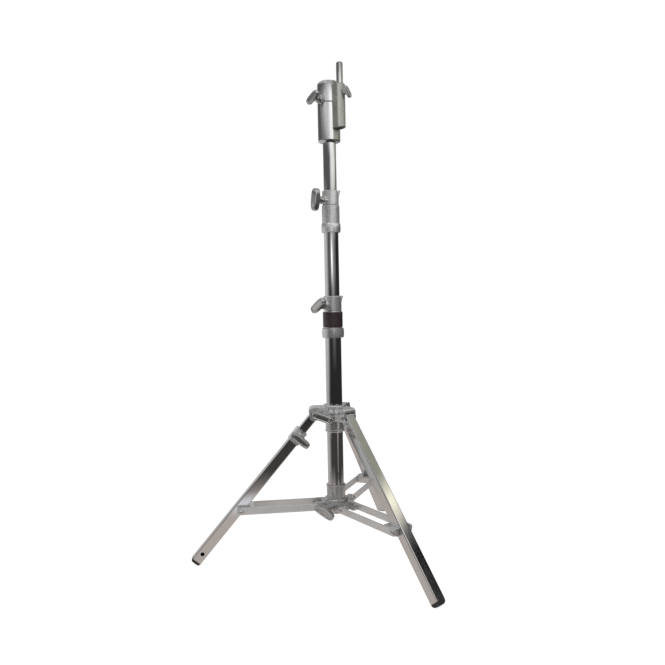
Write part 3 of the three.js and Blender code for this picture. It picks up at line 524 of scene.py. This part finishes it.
class Turned:
    """A handle's own axes, measured on its CAD node: its screw, its bar, and across both."""

    def __init__(self, node, joint):
        self.origin = Vector(JOINTS[joint]["pos_m"])
        self.screw = Vector(JOINTS[joint]["axis"]).normalized()
        points = [vertex.co - self.origin for vertex in NODES[node].data.vertices]
        side = self.screw.orthogonal().normalized()
        other = self.screw.cross(side)
        uu = sum(p.dot(side) ** 2 - p.dot(other) ** 2 for p in points)
        uv = sum(p.dot(side) * p.dot(other) for p in points)
        turn = 0.5 * math.atan2(2 * uv, uu)
        self.bar = side * math.cos(turn) + other * math.sin(turn)
        self.across = self.screw.cross(self.bar)
        reaches = [p.dot(self.screw) for p in points]
        self.tip, self.reach = min(reaches), max(reaches)
        self.half = max(p.dot(self.bar) for p in points)
        self.thick = max(p.dot(self.across) for p in points)
        outside = [(p - self.screw * p.dot(self.screw)).length for p in points]
        self.screw_r = max(r for r, x in zip(outside, reaches) if x < self.tip + TIP_SLICE)
        self.face = min(x for r, x in zip(outside, reaches) if r > self.screw_r * HUB_MARGIN)

    def matrix(self):
        turn = Matrix((self.screw, self.bar, self.across)).transposed()
        return Matrix.Translation(self.origin) @ turn.to_4x4()


# Proportions of a T handle, in shares of its own half length
GRIP_DEPTH = 0.63
GRIP_HUB = 0.343
GRIP_TAPER = 0.444
GRIP_POCKET = 0.09
GRIP_VOXEL = 0.026
GRIP_STEPS = 56
GRIP_ROUND = 48
# How square the bar is from end to end and across, and its least half size in metres
GRIP_END_POWER = 3.6
GRIP_POWER = 5.0
GRIP_LEAST = 0.0002
# The pocket's length in shares of the bar's, its width in shares of the bar's thickness, and how sharply it ends
POCKET_LONG = 0.84
POCKET_WIDE = 0.7
POCKET_POWER = 4
POCKET_EDGE = (1.0, 0.55)
# The hub's rim: distances from its face in metres, and radii in shares of the hub's. From there the hub flares
# into the bar and ends inside it, HUB_SUNK deep in shares of the half length.
HUB_RIM = ((0.0, 0.86), (0.0008, 1.0), (0.0024, 1.0), (0.0032, 0.9))
HUB_POWER = 2.2
HUB_SUNK = 0.16
FLARE_STEPS = 8
FLARE_WIDE = 1.25
FLARE_TALL = 0.06
FLARE_POWER = 2.2
# How the grown form is smoothed
SMOOTH_FACTOR = 0.6
SMOOTH_ROUNDS = 5


def grip_rings(half, thick, reach):
    """Rings of the bar, from end to end, with a shallow pocket in its outer face."""
    depth = half * GRIP_DEPTH
    rings = []
    for step in range(GRIP_STEPS + 1):
        turn = math.pi * step / GRIP_STEPS
        y = -math.cos(turn)
        end = max(1 - abs(y) ** GRIP_END_POWER, 0.0) ** (1 / GRIP_END_POWER)
        a = max(depth / 2 * end, GRIP_LEAST)
        b = max(thick * end, GRIP_LEAST)
        ring = []
        for x, z in oval(a, b, GRIP_POWER, GRIP_ROUND):
            place = (y / POCKET_LONG) ** POCKET_POWER + (z / (thick * POCKET_WIDE)) ** POCKET_POWER
            if x > 0:
                x -= half * GRIP_POCKET * smooth_step(*POCKET_EDGE, place)
            ring.append((reach - depth / 2 + x, y * half, z))
        rings.append(ring)
    return rings


def hub_rings(half, face, reach):
    """Rings of the hub, from its collar outwards: round, then flaring into the bar."""
    r = half * GRIP_HUB
    back = reach - half * GRIP_DEPTH
    rim, waist = HUB_RIM[-1]
    flare = max(face + rim, back - half * GRIP_TAPER)
    stations = [(face + x, share, share) for x, share in HUB_RIM]
    for step in range(1, FLARE_STEPS + 1):
        t = step / FLARE_STEPS
        x = flare + (back + half * HUB_SUNK - flare) * t
        stations.append((x, waist + FLARE_WIDE * t ** FLARE_POWER, waist + FLARE_TALL * t))
    rings = []
    for x, wide, tall in stations:
        rings.append([(x, y, z) for y, z in oval(r * wide, r * tall, HUB_POWER, GRIP_ROUND)])
    return rings


def grip_mesh(name, place):
    """Bar and hub grown together into one cast form."""
    def build(mesh):
        skin(mesh, grip_rings(place.half, place.thick, place.reach))
        skin(mesh, hub_rings(place.half, place.face, place.reach))

    obj = new_object(name, to_mesh(name, build))
    remesh = obj.modifiers.new("grow", "REMESH")
    remesh.mode = "VOXEL"
    remesh.voxel_size = place.half * GRIP_VOXEL
    smooth = obj.modifiers.new("smooth", "CORRECTIVE_SMOOTH")
    smooth.factor = SMOOTH_FACTOR
    smooth.iterations = SMOOTH_ROUNDS
    smooth.use_only_smooth = True
    return baked(obj)


# A handle's screw: sides, steps per turn, depth in shares of its radius, pitch and end in the hub in metres
THREAD_SIDES = 20
THREAD_STEPS = 4
THREAD_DEPTH = 0.16
THREAD_PITCH = 0.0015
THREAD_IN_HUB = 0.002


def threaded_rod(mesh, r, start, end, pitch):
    """A rod along X with a helical thread."""
    steps = max(int((end - start) / pitch * THREAD_STEPS), 2)
    rings = []
    for step in range(steps + 1):
        x = start + (end - start) * step / steps
        lead = min((x - start) / pitch, 1.0)
        ring = []
        for side in range(THREAD_SIDES):
            turn = 2 * math.pi * side / THREAD_SIDES
            wave = abs(((x - start) / pitch - side / THREAD_SIDES) % 1.0 * 2 - 1)
            radius = r * (1 - THREAD_DEPTH + THREAD_DEPTH * wave * lead)
            ring.append((x, radius * math.cos(turn), radius * math.sin(turn)))
        rings.append(ring)
    skin(mesh, rings)


def dress_handle(node, joint, material):
    place = Turned(node, joint)
    mesh = grip_mesh(node, place)
    grown = bmesh.new()
    grown.from_mesh(mesh)
    threaded_rod(grown, place.screw_r, place.tip, place.face + THREAD_IN_HUB, THREAD_PITCH)
    bmesh.ops.recalc_face_normals(grown, faces=grown.faces)
    grown.to_mesh(mesh)
    grown.free()
    mesh.transform(place.matrix())
    finish_piece(f"{node}_cast", mesh, node, material)


# Turned heads: domed rivets and hexagon bolts
ROUND_SIDES = 28
HEX_SIDES = 48
# A head is where a node's radius is more than this share of its widest
HEAD_SHARE = 0.8
# A shank's end is narrowed to this share of its radius
SHANK_END = 0.8


def side_places(node, direction):
    """How far a node reaches along a direction, and its widest radius about its own middle line."""
    points = [vertex.co for vertex in NODES[node].data.vertices]
    low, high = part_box(node)
    middle = (Vector(low) + Vector(high)) / 2
    middle -= direction * middle.dot(direction)
    reaches = [p.dot(direction) for p in points]
    radii = [(p - direction * p.dot(direction) - middle).length for p in points]
    return middle, min(reaches), max(reaches), max(radii), radii, reaches


def lathe(mesh, profile, sides=ROUND_SIDES, shape=None):
    """A closed form turned about X, from (x, radius) pairs; shape bends the radius by the angle."""
    rings = []
    for x, r in profile:
        ring = []
        for side in range(sides):
            turn = 2 * math.pi * side / sides
            radius = shape(x, r, turn) if shape else r
            ring.append((x, radius * math.cos(turn), radius * math.sin(turn)))
        rings.append(ring)
    skin(mesh, rings)


# A rivet's rim: its height and its lower radius in shares of the head's; its shank's chamfer in shares of the
# shank's radius; and its dome, with the least radius in metres
RIVET_RIM = 0.12
RIVET_RIM_R = 0.97
RIVET_CHAMFER = 0.2
DOME_STEPS = 8
DOME_LEAST = 0.0001


def dress_rivet(node, outward, material):
    """A rivet with a domed head, its rim standing a little off the bar."""
    middle, low, high, head_r, radii, reaches = side_places(node, outward)
    base = min(x for x, r in zip(reaches, radii) if r > head_r * HEAD_SHARE)
    shank = max(r for x, r in zip(reaches, radii) if x < low + TIP_SLICE)
    tall = high - base
    profile = [(low, shank * SHANK_END), (low + shank * RIVET_CHAMFER, shank), (base, shank)]
    profile += [(base, head_r * RIVET_RIM_R), (base + tall * RIVET_RIM, head_r)]
    for step in range(1, DOME_STEPS + 1):
        turn = math.pi / 2 * step / DOME_STEPS
        rise = RIVET_RIM + (1 - RIVET_RIM) * math.sin(turn)
        profile.append((base + tall * rise, max(head_r * math.cos(turn), DOME_LEAST)))
    mesh = to_mesh(node, lambda made: lathe(made, profile))
    mesh.transform(facing(middle, outward))
    finish_piece(f"{node}_domed", mesh, node, material)


def facing(middle, outward):
    across = UP.cross(outward).normalized()
    turn = Matrix((outward, across, outward.cross(across))).transposed()
    return Matrix.Translation(middle) @ turn.to_4x4()


# How steeply a hexagon's corners are turned off. A radius below this share of the corners' stays round.
HEX_CHAMFER = 1.9
HEX_LEAST = 0.99


def hexagon(high, low, corner):
    """Radius of a hexagon head at an angle, with its outer corners turned off."""
    flat = corner * math.cos(math.pi / 6)

    def radius(x, r, turn):
        if r < corner * HEX_LEAST:
            return r
        part = (turn + math.pi / 6) % (math.pi / 3) - math.pi / 6
        edge = flat / math.cos(part)
        near = min(abs(high - x), abs(x - low))
        return min(edge, flat + near * HEX_CHAMFER)

    return radius


# Leg bolts, in metres: the shank and its tip, how far it reaches into the heads, and places along a head, one
# after its start and two before its end. The washers' radii are shares of the head's.
BOLT_SHANK_R = 0.004
BOLT_TIP = 0.0012
BOLT_TIP_CHAMFER = 0.0006
BOLT_OVERLAP = 0.0006
BOLT_HEAD_STEPS = (0.0005, 0.0008, 0.0004)
WASHER_T = 0.0011
WASHER_R = 1.17
WASHER_RIM_R = 1.12
WASHER_RIM = 0.0002


def dress_bolt(node, outward, material):
    """A hexagon bolt on washers, with its nut at the far side."""
    middle, low, high, head_r, radii, reaches = side_places(node, outward)
    inner = [x for x, r in zip(reaches, radii) if r > head_r * HEAD_SHARE]
    base = min(x for x in inner if x > (low + high) / 2)
    nut = max(x for x in inner if x < (low + high) / 2)
    shank, flat = BOLT_SHANK_R, WASHER_T
    after, before, last = BOLT_HEAD_STEPS

    def build(mesh):
        lathe(mesh, [(nut - BOLT_OVERLAP, shank), (base + BOLT_OVERLAP, shank)])
        for start, end in ((base, base + flat), (nut - flat, nut)):
            rim, wide = head_r * WASHER_RIM_R, head_r * WASHER_R
            washer = [(start, rim), (start + WASHER_RIM, wide), (end - WASHER_RIM, wide), (end, rim)]
            lathe(mesh, washer, HEX_SIDES)
        for start, end in ((base + flat, high), (low, nut - flat)):
            steps = [start, start + after, (start + end) / 2, end - before, end - last, end]
            lathe(mesh, [(x, head_r) for x in steps], HEX_SIDES, hexagon(end, start, head_r))
        lathe(mesh, [(low - BOLT_TIP, shank * SHANK_END), (low - BOLT_TIP_CHAMFER, shank), (nut, shank)])

    mesh = to_mesh(node, build)
    mesh.transform(facing(middle, outward))
    finish_piece(f"{node}_hex", mesh, node, material)


# A foot's rounded sole, its lip with the places along it, and the plug's chamfer, in metres. The plug's end is
# narrowed to a share of its half width.
FOOT_ROUND = 0.0072
FOOT_LIP = 0.0003
FOOT_LIP_PLACES = (0.0004, 0.0012, 0.0016)
FOOT_PLUG_CHAMFER = 0.001
FOOT_PLUG_END = 0.93
FOOT_STEPS = 8
FOOT_POWER = 7.0
# Where the cap is at least this share of its widest, its wall begins
FOOT_WALL = 0.97


def dress_foot(node, leg, material):
    """A rubber cap with a rounded sole and a thin lip, on the plug that holds it in the tube."""
    down = leg_direction(leg)
    side = leg_left(leg)
    front = down.cross(side)
    points = [vertex.co for vertex in NODES[node].data.vertices]
    sides = [p.dot(side) for p in points]
    half = (max(sides) - min(sides)) / 2
    middle = (max(sides) + min(sides)) / 2
    fronts = [p.dot(front) for p in points]
    depth = (max(fronts) + min(fronts)) / 2
    downs = [p.dot(down) for p in points]
    wide = [d for d, x in zip(downs, sides) if abs(x - middle) > half * FOOT_WALL]
    start, end, top = min(wide), max(downs), min(downs)
    plug = max(abs(x - middle) for d, x in zip(downs, sides) if d < start - FOOT_PLUG_CHAMFER)
    lip_top, lip_low, lip_end = FOOT_LIP_PLACES
    stations = [(top, plug * FOOT_PLUG_END), (top + FOOT_PLUG_CHAMFER, plug), (start, plug), (start, half)]
    stations += [(start + place, half + FOOT_LIP) for place in (lip_top, lip_low)]
    stations.append((start + lip_end, half))
    for step in range(FOOT_STEPS + 1):
        turn = math.pi / 2 * step / FOOT_STEPS
        stations.append((end - FOOT_ROUND * (1 - math.sin(turn)), half - FOOT_ROUND * (1 - math.cos(turn))))
    rings = [[(d, u, v) for u, v in oval(r, r, FOOT_POWER, GRIP_ROUND)] for d, r in stations]
    mesh = to_mesh(node, lambda made: skin(made, rings))
    turn = Matrix((down, side, front)).transposed().to_4x4()
    mesh.transform(Matrix.Translation(side * middle + front * depth) @ turn)
    finish_piece(f"{node}_cap", mesh, node, material)


# The two small socket screws that hold the clamp's shoe: places across and up on its front face, in millimetres
CLAMP_SCREWS = ((0.90, 326.9), (-11.0, 324.7))
# Their heads' radius and height, and how deep they stand in the clamp, in metres
CLAMP_SCREW_R = 0.0026
CLAMP_SCREW_H = 0.0014
CLAMP_SCREW_SUNK = 0.001
# Outline of a head down to the floor of its socket, in shares of its height and radius
CLAMP_SCREW_HEAD = ((0.7, 1.0), (0.93, 0.93), (1.0, 0.84), (1.0, 0.58), (0.1, 0.56))
SOCKET_R = 0.56
SOCKET_EDGE = 0.6


def clamp_screws(material):
    body = NODES["level_clamp"]["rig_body"]
    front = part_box("level_clamp")[0][1]
    r, h = CLAMP_SCREW_R, CLAMP_SCREW_H
    hexagonal = hexagon(h, 0, r * SOCKET_R)
    profile = [(-CLAMP_SCREW_SUNK, r)] + [(h * tall, r * wide) for tall, wide in CLAMP_SCREW_HEAD]

    def bend(x, radius, turn):
        return radius if radius > r * SOCKET_EDGE else hexagonal(0, r * SOCKET_R, turn)

    for number, (x, z) in enumerate(CLAMP_SCREWS, 1):
        mesh = to_mesh("clamp_screw", lambda made: lathe(made, profile, HEX_SIDES, bend))
        mesh.transform(facing(Vector((x * MM, front, z * MM)), Vector((0, -1, 0))))
        mesh.materials.append(material)
        screw = new_object(f"clamp_screw_{number}", mesh)
        shade_crisp(screw)
        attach(screw, body)


def brace_direction(leg):
    """Level and outwards."""
    azimuth = LEG_AZIMUTHS[leg]
    return Vector((math.cos(azimuth), math.sin(azimuth), 0))


def leg_left(leg):
    """Level and across, to the left of someone who looks outwards along the leg."""
    azimuth = LEG_AZIMUTHS[leg]
    return Vector((-math.sin(azimuth), math.cos(azimuth), 0))


def leg_direction(leg):
    """Down along the leg."""
    return brace_direction(leg) * math.sin(LEG_LEAN) - UP * math.cos(LEG_LEAN)


# The block round the baby pin is left as cast within this radius of the pin
PIN_BLOCK_R = 0.0172

# Nodes that keep their own mesh: finish, width of the rounded edges in metres, and its segments
PLAIN_NODES = {
    "column_tube": ("tube", 0.0003, 2),
    "riser_1_tube": ("tube", 0.0003, 2),
    "riser_2_tube": ("tube", 0.0003, 2),
    "baby_pin": ("tube", 0.0003, 2),
    "combo_head": ("head", 0.0008, 3),
    "collar_1": ("satin", 0.0005, 2),
    "collar_2": ("satin", 0.0005, 2),
    "collar_2_band": ("band", 0.0004, 2),
    "top_casting": ("tripod", 0.0008, 2),
    "level_clamp": ("clamp", 0.0008, 2),
    "lower_casting": ("sliding", 0.0008, 2),
    "column_plug": ("rubber", 0.0003, 2),
}
HIDDEN_EDGE = 0.0002
BRACKET_EDGE = 0.0008
LEG_EDGE = 0.0003
BRACE_EDGE = 0.0005


def finishes():
    """The finishes that are shared or plain, by name."""
    low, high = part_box("baby_pin")
    pin_axis = ((low[0] + high[0]) / 2, (low[1] + high[1]) / 2)
    rubber_dust, band_dust = (0.12, 0.115, 0.105), (0.09, 0.07, 0.07)
    return {
        "tube": chrome("chrome_tube", UP, tone=0.82, dull=0.045, lines=0.7),
        "head": chrome("chrome_head", UP, tone=0.8, dull=0.1, lines=1.1, matte=(pin_axis, PIN_BLOCK_R)),
        "satin": casting("cast_satin", tone=0.78, dull=0.22, grain=0.6),
        "grips": casting("cast_handle", tone=0.64, dull=0.2, grain=0.7, metal=0.96),
        "tripod": casting("cast_tripod", tone=0.82, dull=0.22, grain=0.9),
        # The lower casting has a darker tone than the top one: painted shade
        "sliding": casting("cast_sliding_shaded", tone=0.58, dull=0.22, grain=0.9),
        "clamp": casting("cast_clamp", tone=0.86, dull=0.24, grain=1.0, metal=0.75),
        "zinc": casting("zinc", tone=0.7, dull=0.24, grain=0.5),
        "brass": casting("brass", tone=0.6, dull=0.35, grain=0.6),
        "rubber": moulded("rubber", (0.011, 0.011, 0.0105), 0.6, 0.0002, rubber_dust, 0.2),
        "nylon": moulded("nylon", (0.05, 0.05, 0.052), 0.5),
        "band": moulded("black_band", (0.022, 0.012, 0.014), 0.34, 0.00003, band_dust, 0.2, coat=0.35),
    }


def dress_solids(finish):
    for node, (name, edge, segments) in PLAIN_NODES.items():
        dress(node, finish[name], edge, segments)
    for node in NODES:
        if node.endswith("_shoe"):
            dress(node, finish["brass"], HIDDEN_EDGE)
        elif node.endswith("_guide"):
            dress(node, finish["nylon"], HIDDEN_EDGE)
        elif node.startswith("bracket_"):
            dress(node, finish["satin"], BRACKET_EDGE)


def dress_legs():
    """Legs and braces, each drawn along its own direction."""
    for leg in LEG_AZIMUTHS:
        steel = chrome(f"chrome_leg_{leg}", leg_direction(leg), tone=0.8, dull=0.08, lines=0.8)
        bar = brushed(f"brushed_brace_{leg}", brace_direction(leg), tone=0.7, dull=0.3)
        names = ("leg_level_inner", "leg_level_outer") if leg == "level" else (f"leg_{leg}",)
        for node in names:
            dress(node, steel, LEG_EDGE)
        for side in "ab":
            dress(f"brace_{leg}_{side}", bar, BRACE_EDGE)


def dress_nodes():
    finish = finishes()
    dress_solids(finish)
    clamp_screws(finish["zinc"])
    for node, joint in HANDLE_JOINTS.items():
        dress_handle(node, joint, finish["grips"])
    for leg in LEG_AZIMUTHS:
        left = leg_left(leg)
        dress_foot(f"foot_{leg}", leg, finish["rubber"])
        dress_bolt(f"leg_bolt_{leg}", left, finish["zinc"])
        for side, outward in (("a", left), ("b", -left)):
            dress_rivet(f"brace_rivet_{leg}_{side}", outward, finish["zinc"])
            dress_rivet(f"brace_pin_{leg}_{side}", outward, finish["zinc"])
    dress_legs()


# Studio
GROUND_SIZE = 30.0
GROUND_COLOUR = 0.2
GROUND_GLOW = 0.885
GROUND_BOUNCE = 0.8
SKY_FILL = 0.62
SKY_SEEN = 1.0

# Square lamps that look at the middle of the stand: place, and power in watts
LAMPS = {"key": ((-1.2, -1.8, 2.6), 42), "fill": ((1.9, -1.2, 1.8), 18)}
LAMP_SIZE = 1.6
LAMP_TARGET = (COLUMN_X, 0, 0.6)


def seen(graph):
    """1 for the rays that show the background: camera, glossy and transmission."""
    path = graph.add("ShaderNodeLightPath")
    shown = graph.math("MAXIMUM", path.outputs["Is Camera Ray"], path.outputs["Is Glossy Ray"])
    return graph.math("MAXIMUM", shown, path.outputs["Is Transmission Ray"])


def choose_by_ray(graph, output, hidden, shown):
    """One shader for the rays that show the background, and another for the light it gives."""
    choose = graph.add("ShaderNodeMixShader")
    for socket, value in zip(choose.inputs, (seen(graph), hidden, shown)):
        graph.put(socket, value)
    graph.put(output.inputs["Surface"], choose.outputs[0])


def tinted_shader(graph, kind, colour, strength=None):
    node = graph.add(kind)
    graph.put(node.inputs["Color"], shade(colour))
    if strength is not None:
        graph.put(node.inputs["Strength"], strength)
    return node.outputs[0]


def floor():
    material, graph, output = new_material("floor")
    bright = graph.add("ShaderNodeAddShader")
    graph.put(bright.inputs[0], tinted_shader(graph, "ShaderNodeBsdfDiffuse", GROUND_COLOUR))
    graph.put(bright.inputs[1], tinted_shader(graph, "ShaderNodeEmission", 1.0, GROUND_GLOW))
    plain = tinted_shader(graph, "ShaderNodeBsdfDiffuse", GROUND_BOUNCE)
    choose_by_ray(graph, output, plain, bright.outputs[0])
    mesh = bpy.data.meshes.new("floor")
    s = GROUND_SIZE / 2
    mesh.from_pydata([(-s, -s, 0), (s, -s, 0), (s, s, 0), (-s, s, 0)], [], [(0, 1, 2, 3)])
    mesh.materials.append(material)
    obj = new_object("floor", mesh)


def world():
    sky = bpy.data.worlds.new("world")
    bpy.context.scene.world = sky
    sky.use_nodes = True
    graph = Graph(sky.node_tree)
    graph.nodes.clear()
    output = graph.add("ShaderNodeOutputWorld")
    plain = tinted_shader(graph, "ShaderNodeBackground", 1.0, SKY_FILL)
    white = tinted_shader(graph, "ShaderNodeBackground", 1.0, SKY_SEEN)
    choose_by_ray(graph, output, plain, white)


def lamp(name, place, watts):
    data = bpy.data.lights.new(name, "AREA")
    data.shape = "SQUARE"
    data.size = LAMP_SIZE
    data.energy = watts
    obj = new_object(name, data)
    obj.location = place
    obj.rotation_mode = "QUATERNION"
    obj.rotation_quaternion = (Vector(LAMP_TARGET) - Vector(place)).to_track_quat("-Z", "Y")


# What the metal reflects: soft panels that stand round the stand in a dark studio. Each has a middle, a half
# width and a fade in degrees to the right of the camera, then a foot, a head and a fade in metres, and its glow.
SURROUND_R = 1.35
SURROUND_INNER_R = 0.001
SURROUND_BASE = 0.002
SURROUND_TOP = 2.1
SURROUND_FACETS = 96
WARM = (1.44, 1.4, 1.1)
OLIVE = (0.32, 0.32, 0.26)
PANELS = (
    (-133, 58, 20, -1.0, 0.6, 0.1, 0.44),  # pale wall at the left, its dimmer foot
    (-125, 58, 23, 0.35, 1.06, 0.14, 0.56),  # and its upper part
    (153, 65, 12, 1.1, 1.75, 0.2, 0.24),  # grey wall behind
    (16, 42, 32, 0.7, 1.07, 0.07, 0.23),  # glow round the small window
    (16, 4, 29, 0.5, 1.24, 0.2, 0.55),  # curtain that it shines through
    (3, 8, 10, 0.75, 0.9, 0.06, 1.8),  # small window
    (44, 33, 16, 1.06, 1.52, 0.16, 0.92),  # wide window
    (13, 25, 22, 1.38, 1.62, 0.1, 1.85),  # high window
    (-27, 42, 30, 1.39, 1.59, 0.07, 0.57),  # grey screen
    (111, 26, 5, 1.31, 1.83, 0.09, OLIVE),  # olive wall at the right
    (80, 9, 6, 0.71, 1.06, 0.06, 0.005),  # black flag
    (85, 6, 9, 1.15, 1.33, 0.07, WARM),  # warm strip lamp
    (0, 181, 1, 1.8, 2.5, 0.15, 0.45),  # pale ceiling
)
# The dark wall's glow, and the heights between which it grows
WALL_LOW = 0.025
WALL_HIGH = 0.1
WALL_RISE = (1.0, 1.2)
# The floor that the metal reflects is pale close to the stand and falls off to a dark one. Both glows end at
# some height above it.
FLOOR_GLOW = (0.5, 0.45, 0.42)
FLOOR_NEAR = 0.5
FLOOR_FAR = 1.0
FLOOR_LEAST = 0.055
FLOOR_END = (0.05, 0.3)
FLOOR_LEAST_END = (0.02, 0.1)
# In front of the column's right side it falls off sooner, by this much more between these two places across
FLOOR_SHIFT = 0.16
FLOOR_TURN = (-0.12, 0.02)
FLOOR_FRONT = (-0.1, 0.1)
# A bright spot on the floor, to the left of and in front of the column
SPOT_ASIDE = -0.2
SPOT_AHEAD = 0.5
SPOT_R = 0.12
SPOT_GLOW = (0.86, 0.87, 0.93)


def panel_mask(graph, ahead, aside, reach, height, shape):
    """1 inside a soft panel of the studio, and 0 beyond its faded edges."""
    middle, half, fade, foot, head, rise = shape
    turn = math.radians(middle)
    toward = graph.plus(graph.times(ahead, math.cos(turn)), graph.times(aside, math.sin(turn)))
    off = graph.math("ARCCOSINE", graph.math("DIVIDE", toward, reach))
    across = graph.between(off, 1.0, 0.0, math.radians(half - fade), math.radians(half + fade))
    above = graph.between(height, 0.0, 1.0, foot - rise, foot + rise)
    below = graph.between(height, 1.0, 0.0, head - rise, head + rise)
    return graph.times(across, graph.times(above, below))


def floor_mask(graph, ahead, aside, reach, height, low):
    """How strongly the reflected floor glows: most close to the column, least far off."""
    right = graph.between(aside, 0.0, FLOOR_SHIFT, *FLOOR_TURN)
    front = graph.between(ahead, 0.0, 1.0, *FLOOR_FRONT)
    reach = graph.plus(reach, graph.times(right, front))
    close = graph.between(reach, 1.0, 0.0, FLOOR_NEAR, FLOOR_FAR)
    close = graph.times(graph.times(close, close), low)
    return graph.math("MAXIMUM", close, graph.between(height, FLOOR_LEAST, 0.0, *FLOOR_LEAST_END))


def surround_material():
    material, graph, output = new_material("surround")
    place = graph.place()
    ahead = graph.dot(place, CAMERA_BACK)
    aside = graph.dot(place, CAMERA_RIGHT)
    height = graph.dot(place, UP)
    reach = graph.length(ahead, aside)
    colour = graph.between(height, WALL_LOW, WALL_HIGH, *WALL_RISE)
    for *shape, shine in PANELS:
        colour = graph.mix(panel_mask(graph, ahead, aside, reach, height, shape), colour, shine)
    low = graph.between(height, 1.0, 0.0, *FLOOR_END)
    colour = graph.mix(floor_mask(graph, ahead, aside, reach, height, low), colour, FLOOR_GLOW)
    off = graph.length(graph.minus(aside, SPOT_ASIDE), graph.minus(ahead, SPOT_AHEAD))
    spot = graph.times(graph.between(off, 1.0, 0.0, 0.0, SPOT_R), low)
    colour = graph.mix(spot, colour, SPOT_GLOW)
    glow = graph.add("ShaderNodeEmission")
    graph.put(glow.inputs["Color"], colour)
    graph.put(output.inputs["Surface"], glow.outputs[0])
    return material


def surround():
    verts, faces = [], []
    profile = ((SURROUND_INNER_R, SURROUND_BASE), (SURROUND_R, SURROUND_BASE), (SURROUND_R, SURROUND_TOP),
               (SURROUND_INNER_R, SURROUND_TOP))
    for r, z in profile:
        for step in range(SURROUND_FACETS):
            turn = 2 * math.pi * step / SURROUND_FACETS
            verts.append((r * math.cos(turn), r * math.sin(turn), z))
    for level in range(len(profile) - 1):
        for step in range(SURROUND_FACETS):
            a = level * SURROUND_FACETS + step
            b = level * SURROUND_FACETS + (step + 1) % SURROUND_FACETS
            faces.append((a, b, b + SURROUND_FACETS, a + SURROUND_FACETS))
    mesh = bpy.data.meshes.new("surround")
    mesh.from_pydata(verts, [], faces)
    mesh.materials.append(surround_material())
    obj = new_object("surround", mesh)
    obj.location.x = COLUMN_X
    obj.visible_camera = False
    obj.visible_diffuse = False
    obj.visible_shadow = False
    obj.visible_transmission = False
    obj.visible_volume_scatter = False


camera()
floor()
world()
surround()
for name, (place, watts) in LAMPS.items():
    lamp(name, place, watts)
dress_nodes()

bpy.context.scene.view_settings.view_transform = "Standard"
